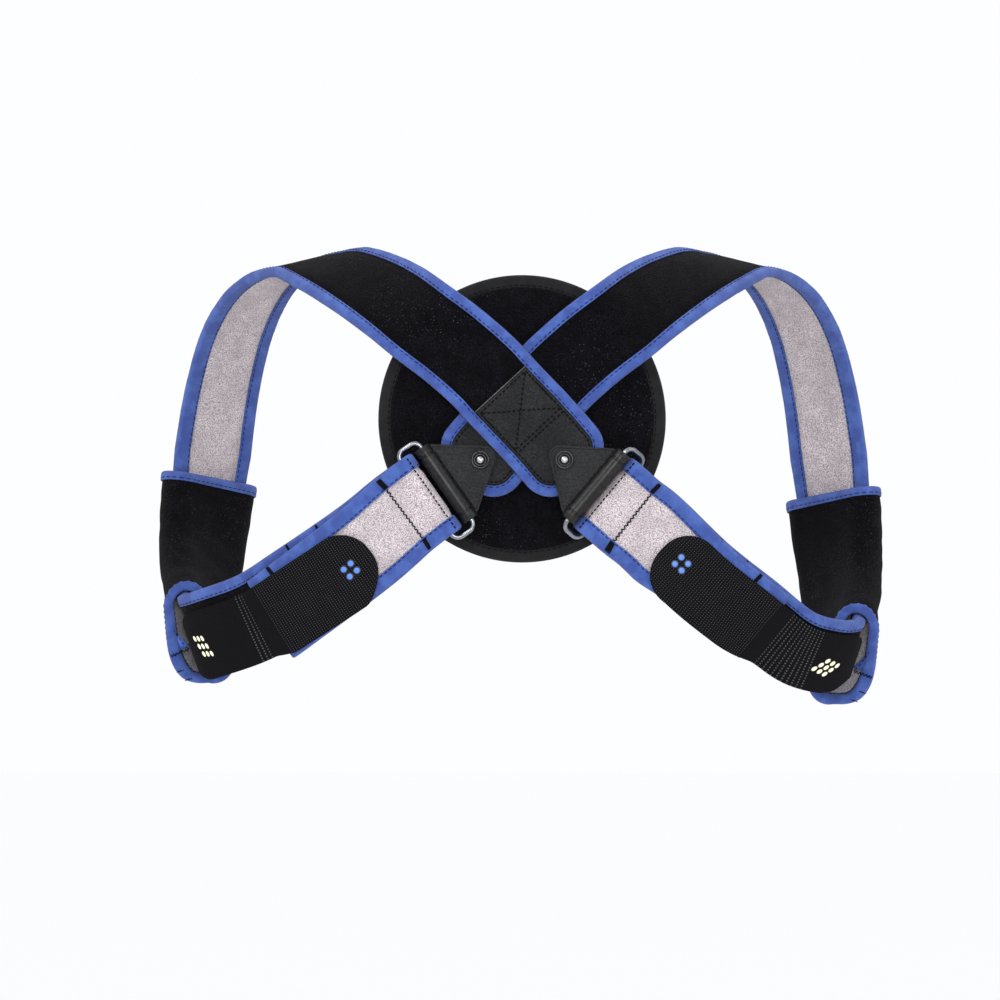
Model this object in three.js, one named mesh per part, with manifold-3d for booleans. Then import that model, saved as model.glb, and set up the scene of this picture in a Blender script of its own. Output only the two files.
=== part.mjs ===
import * as THREE from 'three';
import { mergeVertices } from 'three/addons/utils/BufferGeometryUtils.js';
import Module from 'manifold-3d';

// Clavicle brace: a round back pad, two crossing shoulder straps, and a clip, ring and closure on each side
// Millimetres, +Z up, +Y from the back of the wearer to the front, origin in the middle of the pad's body face

// Clearance between neighbouring pieces and the tape that binds every edge
const gap = 0.3;
const tapeThickness = 0.9;

// Back pad
const padDiameter = 165;
const padThickness = 10;
const padShoulderThickness = 6.6;
const padEdgeThickness = 3.4;
const padBandWidth = 7;
const padDomeWidth = 15;

// Shoulder strap
const strapWidth = 52;
const strapThickness = 5;
const strapEdgeThickness = 3.4;
const strapSlope = 3;
const tapeOuterLap = 6.5;
const tapeLiningLap = 9;
const tapeOverrun = 2;
const strapEndRadius = 18;
const foldBackLength = 113;

// Loop of the strap round the shoulder
const shoulderRise = 92.5;
const armpitReach = 191.5;
const loopDepth = 141;
const armpitDrop = { left: 126, right: 139 };

// Smooth facing on the strap's end
const facingThickness = 1;
const facingPastCrossing = 20;
const crossingFromTip = 50;

// Clip plate with its barrel, rivet and ring
const plateThickness = 2;
const plateReach = 37;
const plateHalfSpan = 25;
const plateCornerRadius = 6;
const rivetFromTip = 15.5;
const rivetFromBarrel = 23.5;
const barrelDiameter = 10;
const barrelShortOfStrap = 2.2;
const barrelGrooveDepth = 0.5;
const barrelGrooveWidth = 1.2;
const barrelGrooveInset = 5;
const barrelTurn = { left: 34.8, right: 40.1 };
const wireDiameter = 3;
const boreClearance = 0.4;
const ringSpacing = 14;
const ringCornerRadius = 4.6;
const rivetHeadDiameter = 10.6;
const rivetHeadHeight = 1.6;
const rivetShankDiameter = 4;
const rivetTailDiameter = 8.6;
const rivetTailThickness = 0.9;

// Woven closure tab
const closureThickness = 1.6;
const closureWidth = 42;
const closureEndRadius = 19;
const closureStart = { left: 42, right: 39 };
const closureBeforeMouth = 8;
const closureShift = { left: 5.5, right: 2.4 };
const foldShift = { left: 6, right: 2 };
const stepLength = 14;
const foldSettle = 30;

// Padded underarm sleeve
const sleeveLength = 118;
const sleeveWall = 3.4;
const sleeveRoom = 7.5;
const sleeveEase = 0.6;
const sleeveLap = 6.5;
const mouthFlare = 11;
const flareLength = 34;

// Facets
const roundSides = 32;
const wireSides = 6;
const rivetSides = 12;
const cornerSteps = 3;
const foldSteps = 6;
const sleeveArcSteps = 5;
const sleeveFlatSteps = 4;

// Levels worked out from the sizes above
const padRadius = padDiameter / 2;
const barrelLength = strapWidth - barrelShortOfStrap;
const strapHalf = strapEdgeThickness / 2 + gap + tapeThickness;
const strapEdgeInset = tapeThickness + gap;
const coreHalfWidth = strapWidth / 2 - strapEdgeInset;
const padBandHeight = padEdgeThickness + 2 * (gap + tapeThickness);
const padLevel = padThickness + gap + strapHalf;
const facingFloor = strapThickness / 2 + gap;
const facingTop = facingFloor + facingThickness;
const topLevel = padLevel + facingTop + gap + strapHalf;
const plateMid = facingTop + gap + plateThickness / 2;
const foldRadius = wireDiameter / 2 + gap + strapHalf;
const barLevel = padThickness + gap + strapHalf + foldRadius;
const layerSpacing = 2 * strapHalf + gap;
const closureLift = strapHalf + gap + closureThickness / 2;

const wasm = await Module();
wasm.setup();

const toward = (turn) => THREE.MathUtils.degToRad(turn);
const vec = (x, y, z) => new THREE.Vector3(x, y, z);

// Turns a closed geometry into a solid and back
function solidOf(geometry) {
  const bare = geometry.clone();
  bare.deleteAttribute('normal');
  bare.deleteAttribute('uv');
  const merged = mergeVertices(bare, 1e-4);
  return new wasm.Manifold(new wasm.Mesh({
    numProp: 3,
    vertProperties: merged.attributes.position.array,
    triVerts: new Uint32Array(merged.index.array),
  }));
}

function geometryOf(solid) {
  const mesh = solid.getMesh();
  const geometry = new THREE.BufferGeometry();
  geometry.setAttribute('position', new THREE.BufferAttribute(mesh.vertProperties, 3));
  geometry.setIndex(new THREE.BufferAttribute(mesh.triVerts, 1));
  geometry.computeVertexNormals();
  return geometry;
}

const cut = (body, tools) => geometryOf(tools.reduce((rest, tool) => rest.subtract(solidOf(tool)), solidOf(body)));
const join = (first, second) => geometryOf(solidOf(first).add(solidOf(second)));

// Splits the quads of an extrusion's sides the same way in every layer, so that twisted layers stay parallel
function matchDiagonals(geometry, frames) {
  const spots = geometry.getAttribute('position');
  const corner = (i) => vec(spots.getX(i), spots.getY(i), spots.getZ(i));
  const level = (spot) => spot.y * (spot.x < -strapWidth / 4 ? -1 : 1);
  const { start, count } = geometry.groups[1];
  for (let i = start; i < start + count; i += 6) {
    const [a, b, c, d] = [corner(i), corner(i + 1), corner(i + 4), corner(i + 2)];
    const upright = Math.abs(a.x - b.x) < gap / 10;
    const rise = upright ? level(b) - level(a) : b.x - a.x;
    if (rise * frames[Math.round(a.z)].lean > 0) {
      [a, b, c, a, c, d].forEach((spot, k) => spots.setXYZ(i + k, spot.x, spot.y, spot.z));
    }
  }
}

// A straight extrusion laid along a row of frames: x goes across, y goes out
function bend(shape, frames, place) {
  const steps = frames.length - 1;
  const geometry = new THREE.ExtrudeGeometry(shape, { depth: steps, steps, bevelEnabled: false });
  matchDiagonals(geometry, frames);
  const spots = geometry.getAttribute('position');
  for (let i = 0; i < spots.count; i += 1) {
    const frame = frames[Math.round(spots.getZ(i))];
    const spot = place(frame, spots.getX(i), spots.getY(i));
    spots.setXYZ(i, spot.x, spot.y, spot.z);
  }
  geometry.computeVertexNormals();
  return geometry;
}

const inFrame = (frame, across, out) =>
  frame.point.clone().addScaledVector(frame.across, across).addScaledVector(frame.out, out);

// A closed profile carried round a closed row of stations; swapped says which quads take the other diagonal
function carryRound(profile, count, place, swapped = () => false) {
  const points = profile.map(([x, y]) => new THREE.Vector2(x, y));
  points.push(points[0]);
  const geometry = new THREE.LatheGeometry(points, count);
  const faces = geometry.index;
  for (let station = 0, i = 0; station < count; station += 1) {
    for (let j = 0; j < points.length - 1; j += 1, i += 6) {
      if (swapped(station, points[j + 1].y - points[j].y)) {
        const [a, b, d, c] = [0, 1, 2, 3].map((k) => faces.getX(i + k));
        [a, b, c, a, c, d].forEach((corner, k) => faces.setX(i + k, corner));
      }
    }
  }
  const spots = geometry.getAttribute('position');
  for (let i = 0; i < spots.count; i += 1) {
    const station = Math.floor(i / points.length) % count;
    const spot = place(station, points[i % points.length]);
    spots.setXYZ(i, spot.x, spot.y, spot.z);
  }
  geometry.computeVertexNormals();
  return geometry;
}

const outline = (points) => new THREE.Shape(points.map(([x, y]) => new THREE.Vector2(x, y)));

// Frames of the strap, from its tip at the crossing round the shoulder to its folded end
// On the pad: out and rise are shares of the pad's radius, lift is the share of the strap's own level
// A facing names the way the strap's outer side looks, and between facings the twist is spread evenly
const padRows = [
  { out: -0.412, rise: -0.43, lift: 1, steps: 1, facing: [0, -1, 0] },
  { out: -0.154, rise: -0.126, lift: 1, steps: 1, facing: [0, -1, 0] },
  { out: 0.14, rise: 0.185, lift: 1, steps: 1, facing: [0, -1, 0] },
  { out: 0.26, rise: 0.315, lift: 1, steps: 2, facing: [0, -1, 0] },
  { out: 0.474, rise: 0.505, lift: 0.28, steps: 1, facing: [0, -1, 0] },
  { out: 0.697, rise: 0.673, lift: 0, steps: 2, facing: [0.02, -0.99, 0.1] },
];
// Off the pad: out is a share of armpitReach, forward of loopDepth,
// rise of shoulderRise above the origin and of armpitDrop below it
const loopRows = [
  { out: 0.375, forward: -0.028, rise: 0.721, steps: 1 },
  { out: 0.463, forward: 0.078, rise: 0.84, steps: 2 },
  { out: 0.579, forward: 0.234, rise: 0.96, steps: 1 },
  { out: 0.6475, forward: 0.383, rise: 1, steps: 2, facing: [0.24, -0.08, 0.97] },
  { out: 0.736, forward: 0.553, rise: 0.968, steps: 1 },
  { out: 0.825, forward: 0.716, rise: 0.832, steps: 2 },
  { out: 0.898, forward: 0.865, rise: 0.584, steps: 1 },
  { out: 0.95, forward: 0.965, rise: 0.216, steps: 1 },
  { out: 0.982, forward: 1, rise: -0.143, steps: 2, facing: [0.55, 0.83, -0.03] },
  { out: 1.003, forward: 0.965, rise: -0.43, steps: 1 },
  { out: 1.013, forward: 0.879, rise: -0.65, steps: 1 },
  { out: 1.013, forward: 0.745, rise: -0.817, steps: 1 },
  { out: 1, forward: 0.596, rise: -0.93, steps: 1 },
  { out: 0.992, forward: 0.454, rise: -0.996, steps: 2, facing: [0.93, -0.02, -0.36] },
];
const lowerRows = {
  left: [
    { out: 1, forward: 0.348, rise: -1.008, steps: 2 },
    { out: 0.94, forward: 0.241, rise: -0.98, steps: 1 },
    { out: 0.803, forward: 0.128, rise: -0.902, steps: 1 },
    { out: 0.671, forward: 0.035, rise: -0.777, steps: 1 },
    { out: 0.459, forward: -0.071, rise: -0.558, steps: 2 },
  ],
  right: [
    { out: 1, forward: 0.348, rise: -1.011, steps: 2 },
    { out: 0.94, forward: 0.241, rise: -1.014, steps: 1 },
    { out: 0.824, forward: 0.135, rise: -0.969, steps: 1 },
    { out: 0.678, forward: 0.035, rise: -0.816, steps: 1 },
    { out: 0.533, forward: -0.035, rise: -0.66, steps: 1 },
    { out: 0.375, forward: -0.083, rise: -0.454, steps: 1 },
  ],
};

const mirror = { left: -1, right: 1 };
const stackLevel = { left: topLevel, right: padLevel };
const otherSide = { left: 'right', right: 'left' };

const padPoint = (side, row) => {
  const level = padLevel + (stackLevel[side] - padLevel) * row.lift;
  return vec(mirror[side] * row.out * padRadius, -level, row.rise * padRadius);
};

const loopPoint = (side, row) => {
  const height = row.rise > 0 ? row.rise * shoulderRise : row.rise * armpitDrop[side];
  return vec(mirror[side] * row.out * armpitReach, row.forward * loopDepth, height);
};

const squareUp = (point, along, facing) => {
  const out = facing.clone().addScaledVector(along, -facing.dot(along)).normalize();
  return { point, along, out, across: out.clone().cross(along) };
};

// The clip on one side sits on the end of the strap that comes from the other shoulder
function clipPlace(side) {
  const [tipRow, nextRow] = padRows;
  const tip = padPoint(otherSide[side], tipRow);
  const next = padPoint(otherSide[side], nextRow);
  const rivet = tip.clone().addScaledVector(next.sub(tip).normalize(), rivetFromTip);
  const turn = toward(barrelTurn[side]);
  const inward = vec(-mirror[side] * Math.cos(turn), 0, Math.sin(turn));
  const barrelAxis = vec(mirror[side] * Math.sin(turn), 0, Math.cos(turn));
  const level = stackLevel[otherSide[side]] + plateMid;
  const barrel = rivet.clone().addScaledVector(inward, -rivetFromBarrel).setY(-level);
  const dip = level - barLevel;
  const ringOut = inward.clone().multiplyScalar(-Math.sqrt(ringSpacing ** 2 - dip ** 2)).setY(dip);
  return { rivet, inward, barrelAxis, level, barrel, ringOut, bar: barrel.clone().add(ringOut) };
}

// Stations through a list of points, with the given number of steps from each point to the next
function stationsThrough(points, counts) {
  const route = new THREE.CatmullRomCurve3(points, false, 'centripetal');
  const spans = points.length - 1;
  const shares = counts.flatMap((count, span) => Array.from({ length: count }, (_, k) => (span + k / count) / spans));
  return [...shares, 1].map((t) => ({ point: route.getPoint(t), along: route.getTangent(t), row: t * spans }));
}

// Turns the stations into frames: least twist from one to the next, plus what each named facing still needs
function framesThrough(points, facings, counts) {
  const stations = measure(stationsThrough(points, counts));
  const carried = [squareUp(stations[0].point, stations[0].along, facings[0]).out];
  for (let i = 1; i < stations.length; i += 1) {
    const turn = new THREE.Quaternion().setFromUnitVectors(stations[i - 1].along, stations[i].along);
    carried.push(carried[i - 1].clone().applyQuaternion(turn));
  }
  const keys = [];
  stations.forEach(({ point, along, row, at }, i) => {
    const facing = facings[Math.round(row)];
    if (facing && Math.abs(row - Math.round(row)) < 1e-6) {
      const wanted = squareUp(point, along, facing).out;
      const angle = Math.atan2(carried[i].clone().cross(wanted).dot(along), carried[i].dot(wanted));
      const last = keys.at(-1)?.angle ?? 0;
      keys.push({ at, angle: last + Math.atan2(Math.sin(angle - last), Math.cos(angle - last)) });
    }
  });
  return stations.map(({ point, along, at }, i) => {
    const next = Math.max(1, keys.findIndex((key) => key.at >= at));
    const [before, after] = [keys[next - 1], keys[next]];
    const angle = THREE.MathUtils.mapLinear(at, before.at, after.at, before.angle, after.angle);
    return squareUp(point, along, carried[i].clone().applyAxisAngle(along, angle));
  });
}

function measure(frames) {
  let reached = 0;
  return frames.map((frame, i) => {
    reached += i ? frame.point.distanceTo(frames[i - 1].point) : 0;
    return { ...frame, at: reached };
  });
}

function frameAt(run, at) {
  const last = run.findIndex((frame) => frame.at >= at);
  const after = run[Math.max(1, last < 0 ? run.length - 1 : last)];
  const before = run[run.indexOf(after) - 1];
  const share = (at - before.at) / (after.at - before.at);
  const mix = (name) => before[name].clone().lerp(after[name], share);
  return { point: mix('point'), along: mix('along'), out: mix('out'), across: mix('across'), lean: before.lean, at };
}

const stretch = (run, from, to, extra = []) =>
  [from, ...extra, ...run.map((frame) => frame.at).filter((at) => at > from && at < to), to]
    .sort((a, b) => a - b)
    .filter((at, i, all) => !i || at - all[i - 1] > gap)
    .map((at) => frameAt(run, at));

// Marks that every layer shares, by distance from the ring: the fold's cut end and the closure's step
const foldEnd = foldBackLength + tapeOverrun;
const stepStart = foldEnd + gap;
const sharedMarks = [foldBackLength, stepStart, stepStart + stepLength / 2, stepStart + stepLength];

// One strap as a run of frames: the body up to the ring, the turn round the ring, and the fold back
function layStrap(side) {
  const clip = clipPlace(side);
  const rows = [...padRows, ...loopRows, ...lowerRows[side]];
  const facingOf = ({ facing }) => facing && vec(mirror[side] * facing[0], facing[1], facing[2]).normalize();
  const points = [
    ...padRows.map((row) => padPoint(side, row)),
    ...[...loopRows, ...lowerRows[side]].map((row) => loopPoint(side, row)),
  ];
  const facings = rows.map(facingOf);
  const atBar = clip.bar.clone().add(vec(0, foldRadius, 0));
  const lead = clip.inward.clone().multiplyScalar(-foldSettle / 2);
  points.push(atBar.clone().add(lead), atBar);
  facings.push(vec(0, -1, 0), vec(0, -1, 0));
  const laid = measure(framesThrough(points, facings, [...rows.map((row) => row.steps), 1]));
  const end = squareUp(atBar, clip.inward.clone(), vec(0, -1, 0));
  laid.splice(-1, 1, { ...laid.at(-1), ...end });
  const total = laid.at(-1).at;
  const body = stretch(laid, 0, total, sharedMarks.map((mark) => total - mark)).map((frame) => ({ ...frame, lean: 1 }));

  const turn = [];
  for (let k = 1; k < foldSteps; k += 1) {
    const angle = (Math.PI * k) / foldSteps;
    const along = end.along.clone().multiplyScalar(Math.cos(angle)).addScaledVector(end.out, Math.sin(angle));
    const out = end.out.clone().multiplyScalar(Math.cos(angle)).addScaledVector(end.along, -Math.sin(angle));
    const point = clip.bar.clone().addScaledVector(out, -foldRadius);
    turn.push({ point, along, out, across: end.across.clone(), lean: 1 });
  }

  const fold = foldFrames(side, body).map((frame) => ({
    ...frame,
    along: frame.along.clone().negate(),
    out: frame.out.clone().negate(),
    lean: -1,
  }));
  return { clip, body, run: measure([...body, ...turn, ...fold]) };
}

// Distance of a layer from the strap below it and its shift across, by distance from the ring
const clamp = (value, low, high) => THREE.MathUtils.clamp(value, low, high);
const easing = (share) => THREE.MathUtils.smoothstep(share, 0, 1);
const foldLift = (fromRing) =>
  layerSpacing + (2 * foldRadius - layerSpacing) * (1 - easing(fromRing / foldSettle));
const downward = (side) => mirror[side];

function overBody(side, body, fromRing, lift, shift) {
  const frame = frameAt(body, body.at(-1).at - fromRing);
  const point = frame.point
    .clone()
    .addScaledVector(frame.out, lift)
    .addScaledVector(frame.across, downward(side) * shift);
  return { ...frame, point };
}

function foldFrames(side, body) {
  const total = body.at(-1).at;
  const marks = body.map((frame) => total - frame.at).filter((mark) => mark < foldBackLength + gap).reverse();
  return marks.map((mark) =>
    overBody(side, body, mark, foldLift(mark), (foldShift[side] * mark) / foldBackLength));
}

// Half width of a band with a rounded end, at a distance from that end
const roundedHalf = (half, radius, fromEnd) => {
  const short = Math.max(0, radius - fromEnd);
  return half - radius + Math.sqrt(radius ** 2 - short ** 2);
};

const roundedMarks = (radius) =>
  Array.from({ length: cornerSteps }, (_, k) => radius * (1 - Math.cos((Math.PI / 2) * ((k + 1) / cornerSteps))));

// Padded core: full in the middle and pinched where the tape wraps it
function strapCore(run) {
  const radius = strapEndRadius - strapEdgeInset;
  const edge = strapEdgeThickness / 2;
  const middle = strapThickness / 2;
  const outerPinch = strapWidth / 2 - tapeOuterLap - gap;
  const liningPinch = strapWidth / 2 - tapeLiningLap - gap;
  const section = outline([
    [coreHalfWidth, -edge],
    [coreHalfWidth, edge],
    [outerPinch, edge],
    [outerPinch - strapSlope, middle],
    [strapSlope - outerPinch, middle],
    [-outerPinch, edge],
    [-coreHalfWidth, edge],
    [-coreHalfWidth, -edge],
    [-liningPinch, -edge],
    [strapSlope - liningPinch, -middle],
    [liningPinch - strapSlope, -middle],
    [liningPinch, -edge],
  ]);
  const marks = roundedMarks(radius).map((mark) => mark + strapEdgeInset);
  const frames = stretch(run, strapEdgeInset, run.at(-1).at, marks);
  return bend(section, frames, (frame, across, out) => {
    const fromEnd = frame.at - strapEdgeInset;
    const width = roundedHalf(coreHalfWidth, radius, fromEnd) / coreHalfWidth;
    const filled = clamp((frame.at - tapeLiningLap - gap) / strapSlope, 0, 1);
    const crown = Math.abs(out) > (edge + middle) / 2;
    const height = edge + (crown ? (middle - edge) * filled : 0);
    return inFrame(frame, across * width, Math.sign(out) * height);
  });
}

// Folded tape along one edge, round the tip and back along the other edge
const tapeSection = outline([
  [0, -strapHalf],
  [0, strapHalf],
  [-tapeOuterLap, strapHalf],
  [-tapeOuterLap, strapHalf - tapeThickness],
  [-tapeThickness, strapHalf - tapeThickness],
  [-tapeThickness, tapeThickness - strapHalf],
  [-tapeLiningLap, tapeThickness - strapHalf],
  [-tapeLiningLap, -strapHalf],
]);

function strapBinding(run) {
  const end = run.at(-1).at + tapeOverrun;
  const sides = stretch(run, strapEndRadius, end);
  const edgeFrame = (frame, sign) => {
    const outward = frame.across.clone().multiplyScalar(sign);
    const point = frame.point.clone().addScaledVector(outward, strapWidth / 2);
    return { point, across: outward, out: frame.out, lean: frame.lean };
  };
  const start = sides[0];
  const corner = (sign, share) => {
    const angle = (Math.PI / 2) * share;
    const outward = start.across
      .clone()
      .multiplyScalar(sign * Math.cos(angle))
      .addScaledVector(start.along, -Math.sin(angle));
    const point = start.point
      .clone()
      .addScaledVector(start.across, sign * (strapWidth / 2 - strapEndRadius))
      .addScaledVector(outward, strapEndRadius);
    return { point, across: outward, out: start.out, lean: start.lean };
  };
  const shares = Array.from({ length: cornerSteps }, (_, k) => (k + 1) / cornerSteps);
  const frames = [
    ...[...sides].reverse().map((frame) => edgeFrame(frame, -1)),
    ...shares.map((share) => corner(-1, share)),
    ...[...shares].reverse().map((share) => corner(1, share)),
    ...sides.map((frame) => edgeFrame(frame, 1)),
  ];
  return bend(tapeSection, frames, inFrame);
}

// Smooth facing inside the tape, from past the crossing to the rounded tip
function endFacing(run) {
  const inset = tapeOuterLap + gap;
  const half = strapWidth / 2 - inset;
  const radius = strapEndRadius - inset;
  const section = outline([
    [half, facingFloor],
    [half, facingTop],
    [-half, facingTop],
    [-half, facingFloor],
  ]);
  const marks = roundedMarks(radius).map((mark) => mark + inset);
  const frames = stretch(run, inset, crossingFromTip + facingPastCrossing, marks);
  return bend(section, frames, (frame, across, out) =>
    inFrame(frame, (across * roundedHalf(half, radius, frame.at - inset)) / half, out));
}

// Rivet axis in the frame of the clip: x along the barrel, y to the plate's corner, z out of the wearer's back
function rivetHoles(rivet, level) {
  const shank = new THREE.CylinderGeometry(
    rivetShankDiameter / 2 + gap,
    rivetShankDiameter / 2 + gap,
    2 * level,
    rivetSides,
  );
  shank.translate(rivet.x, -level, rivet.z);
  const pocketDepth = rivetTailThickness + 2 * gap;
  const pocket = new THREE.CylinderGeometry(
    rivetTailDiameter / 2 + gap,
    rivetTailDiameter / 2 + gap,
    2 * pocketDepth,
    rivetSides,
  );
  pocket.translate(rivet.x, strapThickness / 2 - level, rivet.z);
  return [shank, pocket];
}

function rivetBody() {
  const head = rivetHeadDiameter / 2;
  const shank = rivetShankDiameter / 2;
  const tail = rivetTailDiameter / 2;
  const seat = plateThickness / 2 + gap;
  const foot = -(plateMid + strapThickness / 2 - gap);
  const profile = [
    [0, foot],
    [tail, foot],
    [tail, foot + rivetTailThickness],
    [shank, foot + rivetTailThickness],
    [shank, seat],
    [head, seat],
    [head * 0.97, seat + rivetHeadHeight * 0.6],
    [head * 0.86, seat + rivetHeadHeight * 0.8],
    [head * 0.62, seat + rivetHeadHeight * 0.3],
    [head * 0.45, seat + rivetHeadHeight * 0.35],
    [head * 0.28, seat + rivetHeadHeight * 0.85],
    [0, seat + rivetHeadHeight],
  ];
  const geometry = new THREE.LatheGeometry(profile.map(([x, y]) => new THREE.Vector2(x, y)), rivetSides);
  geometry.rotateX(Math.PI / 2);
  return geometry;
}

// Plate and barrel in one moulding
function clipBody() {
  const radius = barrelDiameter / 2;
  const bore = wireDiameter / 2 + boreClearance;
  const groove = radius - barrelGrooveDepth;
  const half = barrelLength / 2;
  const grooveOut = half - barrelGrooveInset;
  const grooveIn = grooveOut - barrelGrooveWidth;
  const profile = [
    [bore, -half],
    [radius, -half],
    [radius, -grooveOut],
    [groove, -grooveOut],
    [groove, -grooveIn],
    [radius, -grooveIn],
    [radius, grooveIn],
    [groove, grooveIn],
    [groove, grooveOut],
    [radius, grooveOut],
    [radius, half],
    [bore, half],
  ].map(([x, y]) => new THREE.Vector2(x, y));
  const barrel = new THREE.LatheGeometry([...profile, profile[0]], 16);
  barrel.rotateZ(-Math.PI / 2);

  const root = (radius + bore) / 2;
  const sideAngle = Math.atan2(plateReach - root, plateHalfSpan);
  const apexDrop = plateCornerRadius / Math.cos(sideAngle);
  const tangent = vec(Math.sin(sideAngle), Math.cos(sideAngle), 0).multiplyScalar(plateCornerRadius);
  const centreY = plateReach - apexDrop;
  const shape = new THREE.Shape();
  shape.moveTo(-plateHalfSpan, root);
  shape.lineTo(plateHalfSpan, root);
  shape.lineTo(tangent.x, centreY + tangent.y);
  shape.absarc(0, centreY, plateCornerRadius, Math.PI / 2 - sideAngle, Math.PI / 2 + sideAngle, false);
  shape.lineTo(-plateHalfSpan, root);
  const hole = new THREE.Path();
  hole.absarc(0, rivetFromBarrel, rivetShankDiameter / 2 + gap, 0, 2 * Math.PI, true);
  shape.holes.push(hole);
  const plate = new THREE.ExtrudeGeometry(shape, { depth: plateThickness, bevelEnabled: false, curveSegments: 8 });
  plate.translate(0, 0, -plateThickness / 2);
  return join(plate, barrel);
}

// Wire ring: one long bar in the barrel, the other in the strap's fold
function ringBody(ringOut) {
  const straight = barrelLength + 2 * gap;
  const halfLong = straight / 2;
  const halfShort = ringSpacing / 2 - ringCornerRadius;
  const cornerCount = 2 * cornerSteps;
  const stations = [];
  for (let corner = 0; corner < 4; corner += 1) {
    const signX = corner === 0 || corner === 3 ? 1 : -1;
    const signY = corner < 2 ? 1 : -1;
    for (let k = 0; k <= cornerCount; k += 1) {
      const angle = (Math.PI / 2) * (corner + k / cornerCount);
      const away = vec(Math.cos(angle), Math.sin(angle), 0);
      const centre = vec(signX * halfLong, signY * halfShort - ringSpacing / 2, 0);
      stations.push({ centre: centre.addScaledVector(away, ringCornerRadius), away });
    }
  }
  const wire = [];
  for (let k = 0; k < wireSides; k += 1) {
    const angle = (2 * Math.PI * k) / wireSides;
    wire.push([(Math.cos(angle) * wireDiameter) / 2, (Math.sin(angle) * wireDiameter) / 2]);
  }
  const geometry = carryRound(wire, stations.length, (station, point) => {
    const { centre, away } = stations[station];
    return centre.clone().addScaledVector(away, point.x).add(vec(0, 0, point.y));
  });
  geometry.rotateX(Math.atan2(ringOut.y, Math.hypot(ringOut.x, ringOut.z)));
  return geometry;
}

// Woven tab over the fold's cut end and down on to the strap
function closureBody(side, body, mouthFromRing) {
  const from = closureStart[side];
  const to = mouthFromRing - closureBeforeMouth;
  const half = closureWidth / 2;
  const shift = closureShift[side];
  const crown = strapWidth / 2 - tapeOuterLap - gap;
  const inner = [-crown, crown].map((x) => x - downward(side) * shift).filter((x) => Math.abs(x) < half - gap);
  const breaks = [-half, ...inner, half];
  const section = outline([
    ...breaks.map((x) => [x, -closureThickness / 2]),
    ...[...breaks].reverse().map((x) => [x, closureThickness / 2]),
  ]);
  const total = body.at(-1).at;
  const corners = roundedMarks(closureEndRadius);
  const marks = [
    from,
    ...corners.map((mark) => from + mark),
    ...body.map((frame) => total - frame.at).filter((mark) => mark > from && mark < to),
    ...corners.map((mark) => to - mark),
    to,
  ]
    .sort((a, b) => b - a)
    .filter((mark, i, all) => !i || all[i - 1] - mark > gap);
  const frames = marks.map((mark) => {
    const down = easing((mark - stepStart) / stepLength);
    const lift = closureLift + foldLift(mark) * (1 - down);
    return { ...overBody(side, body, mark, lift, shift), mark };
  });
  return bend(section, frames, (frame, across, out) => {
    const nearest = Math.min(frame.mark - from, to - frame.mark);
    return inFrame(frame, (across * roundedHalf(half, closureEndRadius, nearest)) / half, out);
  });
}

// Flattened oval round the strap: half circles joined by flats, the outer flat in several steps
const sleeveOval = (radius, middle) => {
  const points = [];
  for (let k = 0; k <= sleeveArcSteps; k += 1) {
    const angle = Math.PI * (k / sleeveArcSteps) - Math.PI / 2;
    points.push([middle + radius * Math.cos(angle), radius * Math.sin(angle)]);
  }
  const ends = points.map(([x, y]) => [-x, -y]);
  for (let k = 1; k < sleeveFlatSteps; k += 1) {
    points.push([middle * (1 - (2 * k) / sleeveFlatSteps), radius]);
  }
  return [...points, ...ends];
};

const sleeveMouthRoom = sleeveRoom - gap - tapeThickness;
const sleeveMiddle = strapWidth / 2 + sleeveEase - Math.sqrt(sleeveMouthRoom ** 2 - strapHalf ** 2);
const sleeveMid = sleeveRoom + sleeveWall / 2;

// The back mouth stands open on its outer side, most of all towards its lower end
const openedOut = (mouth) => (frame, x, y) => {
  const near = 1 - easing((mouth - frame.at - sleeveLap) / flareLength);
  const lower = frame.across.z > 0 ? -x : x;
  const share = clamp((1 + lower / (sleeveMiddle + sleeveMid)) / 2, 0, 1);
  const bulge = mouthFlare * near * Math.sin(Math.PI * share ** 1.9) ** 0.6;
  const outer = clamp(y / sleeveRoom, 0, 1);
  return inFrame(frame, x, y + bulge * outer);
};

function sleeveBody(run, front, back) {
  const shape = outline(sleeveOval(sleeveRoom + sleeveWall, sleeveMiddle));
  shape.holes.push(outline(sleeveOval(sleeveRoom, sleeveMiddle)));
  const laps = [front + sleeveLap, back - sleeveLap];
  return bend(shape, stretch(run, front + strapEdgeInset, back - strapEdgeInset, laps), openedOut(back));
}

function sleeveEdging(run, at, inward, mouth) {
  const half = sleeveWall / 2 + gap + tapeThickness;
  const inner = half - tapeThickness;
  const profile = [
    [half, 0],
    [half, sleeveLap],
    [inner, sleeveLap],
    [inner, tapeThickness],
    [-inner, tapeThickness],
    [-inner, sleeveLap],
    [-half, sleeveLap],
    [-half, 0],
  ];
  const turned = inward > 0 ? profile : profile.reverse();
  const middle = sleeveOval(sleeveMid, sleeveMiddle);
  const aims = sleeveOval(1, 0);
  return carryRound(turned, middle.length, (station, point) => {
    const frame = frameAt(run, at + inward * point.y);
    const [x, y] = middle[station];
    const [aimX, aimY] = aims[station];
    return openedOut(mouth)(frame, x + aimX * point.x, y + aimY * point.x);
  }, (station, reach) => {
    const next = middle[(station + 1) % middle.length];
    return (middle[station][0] - next[0]) * reach * inward < 0;
  });
}

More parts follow.
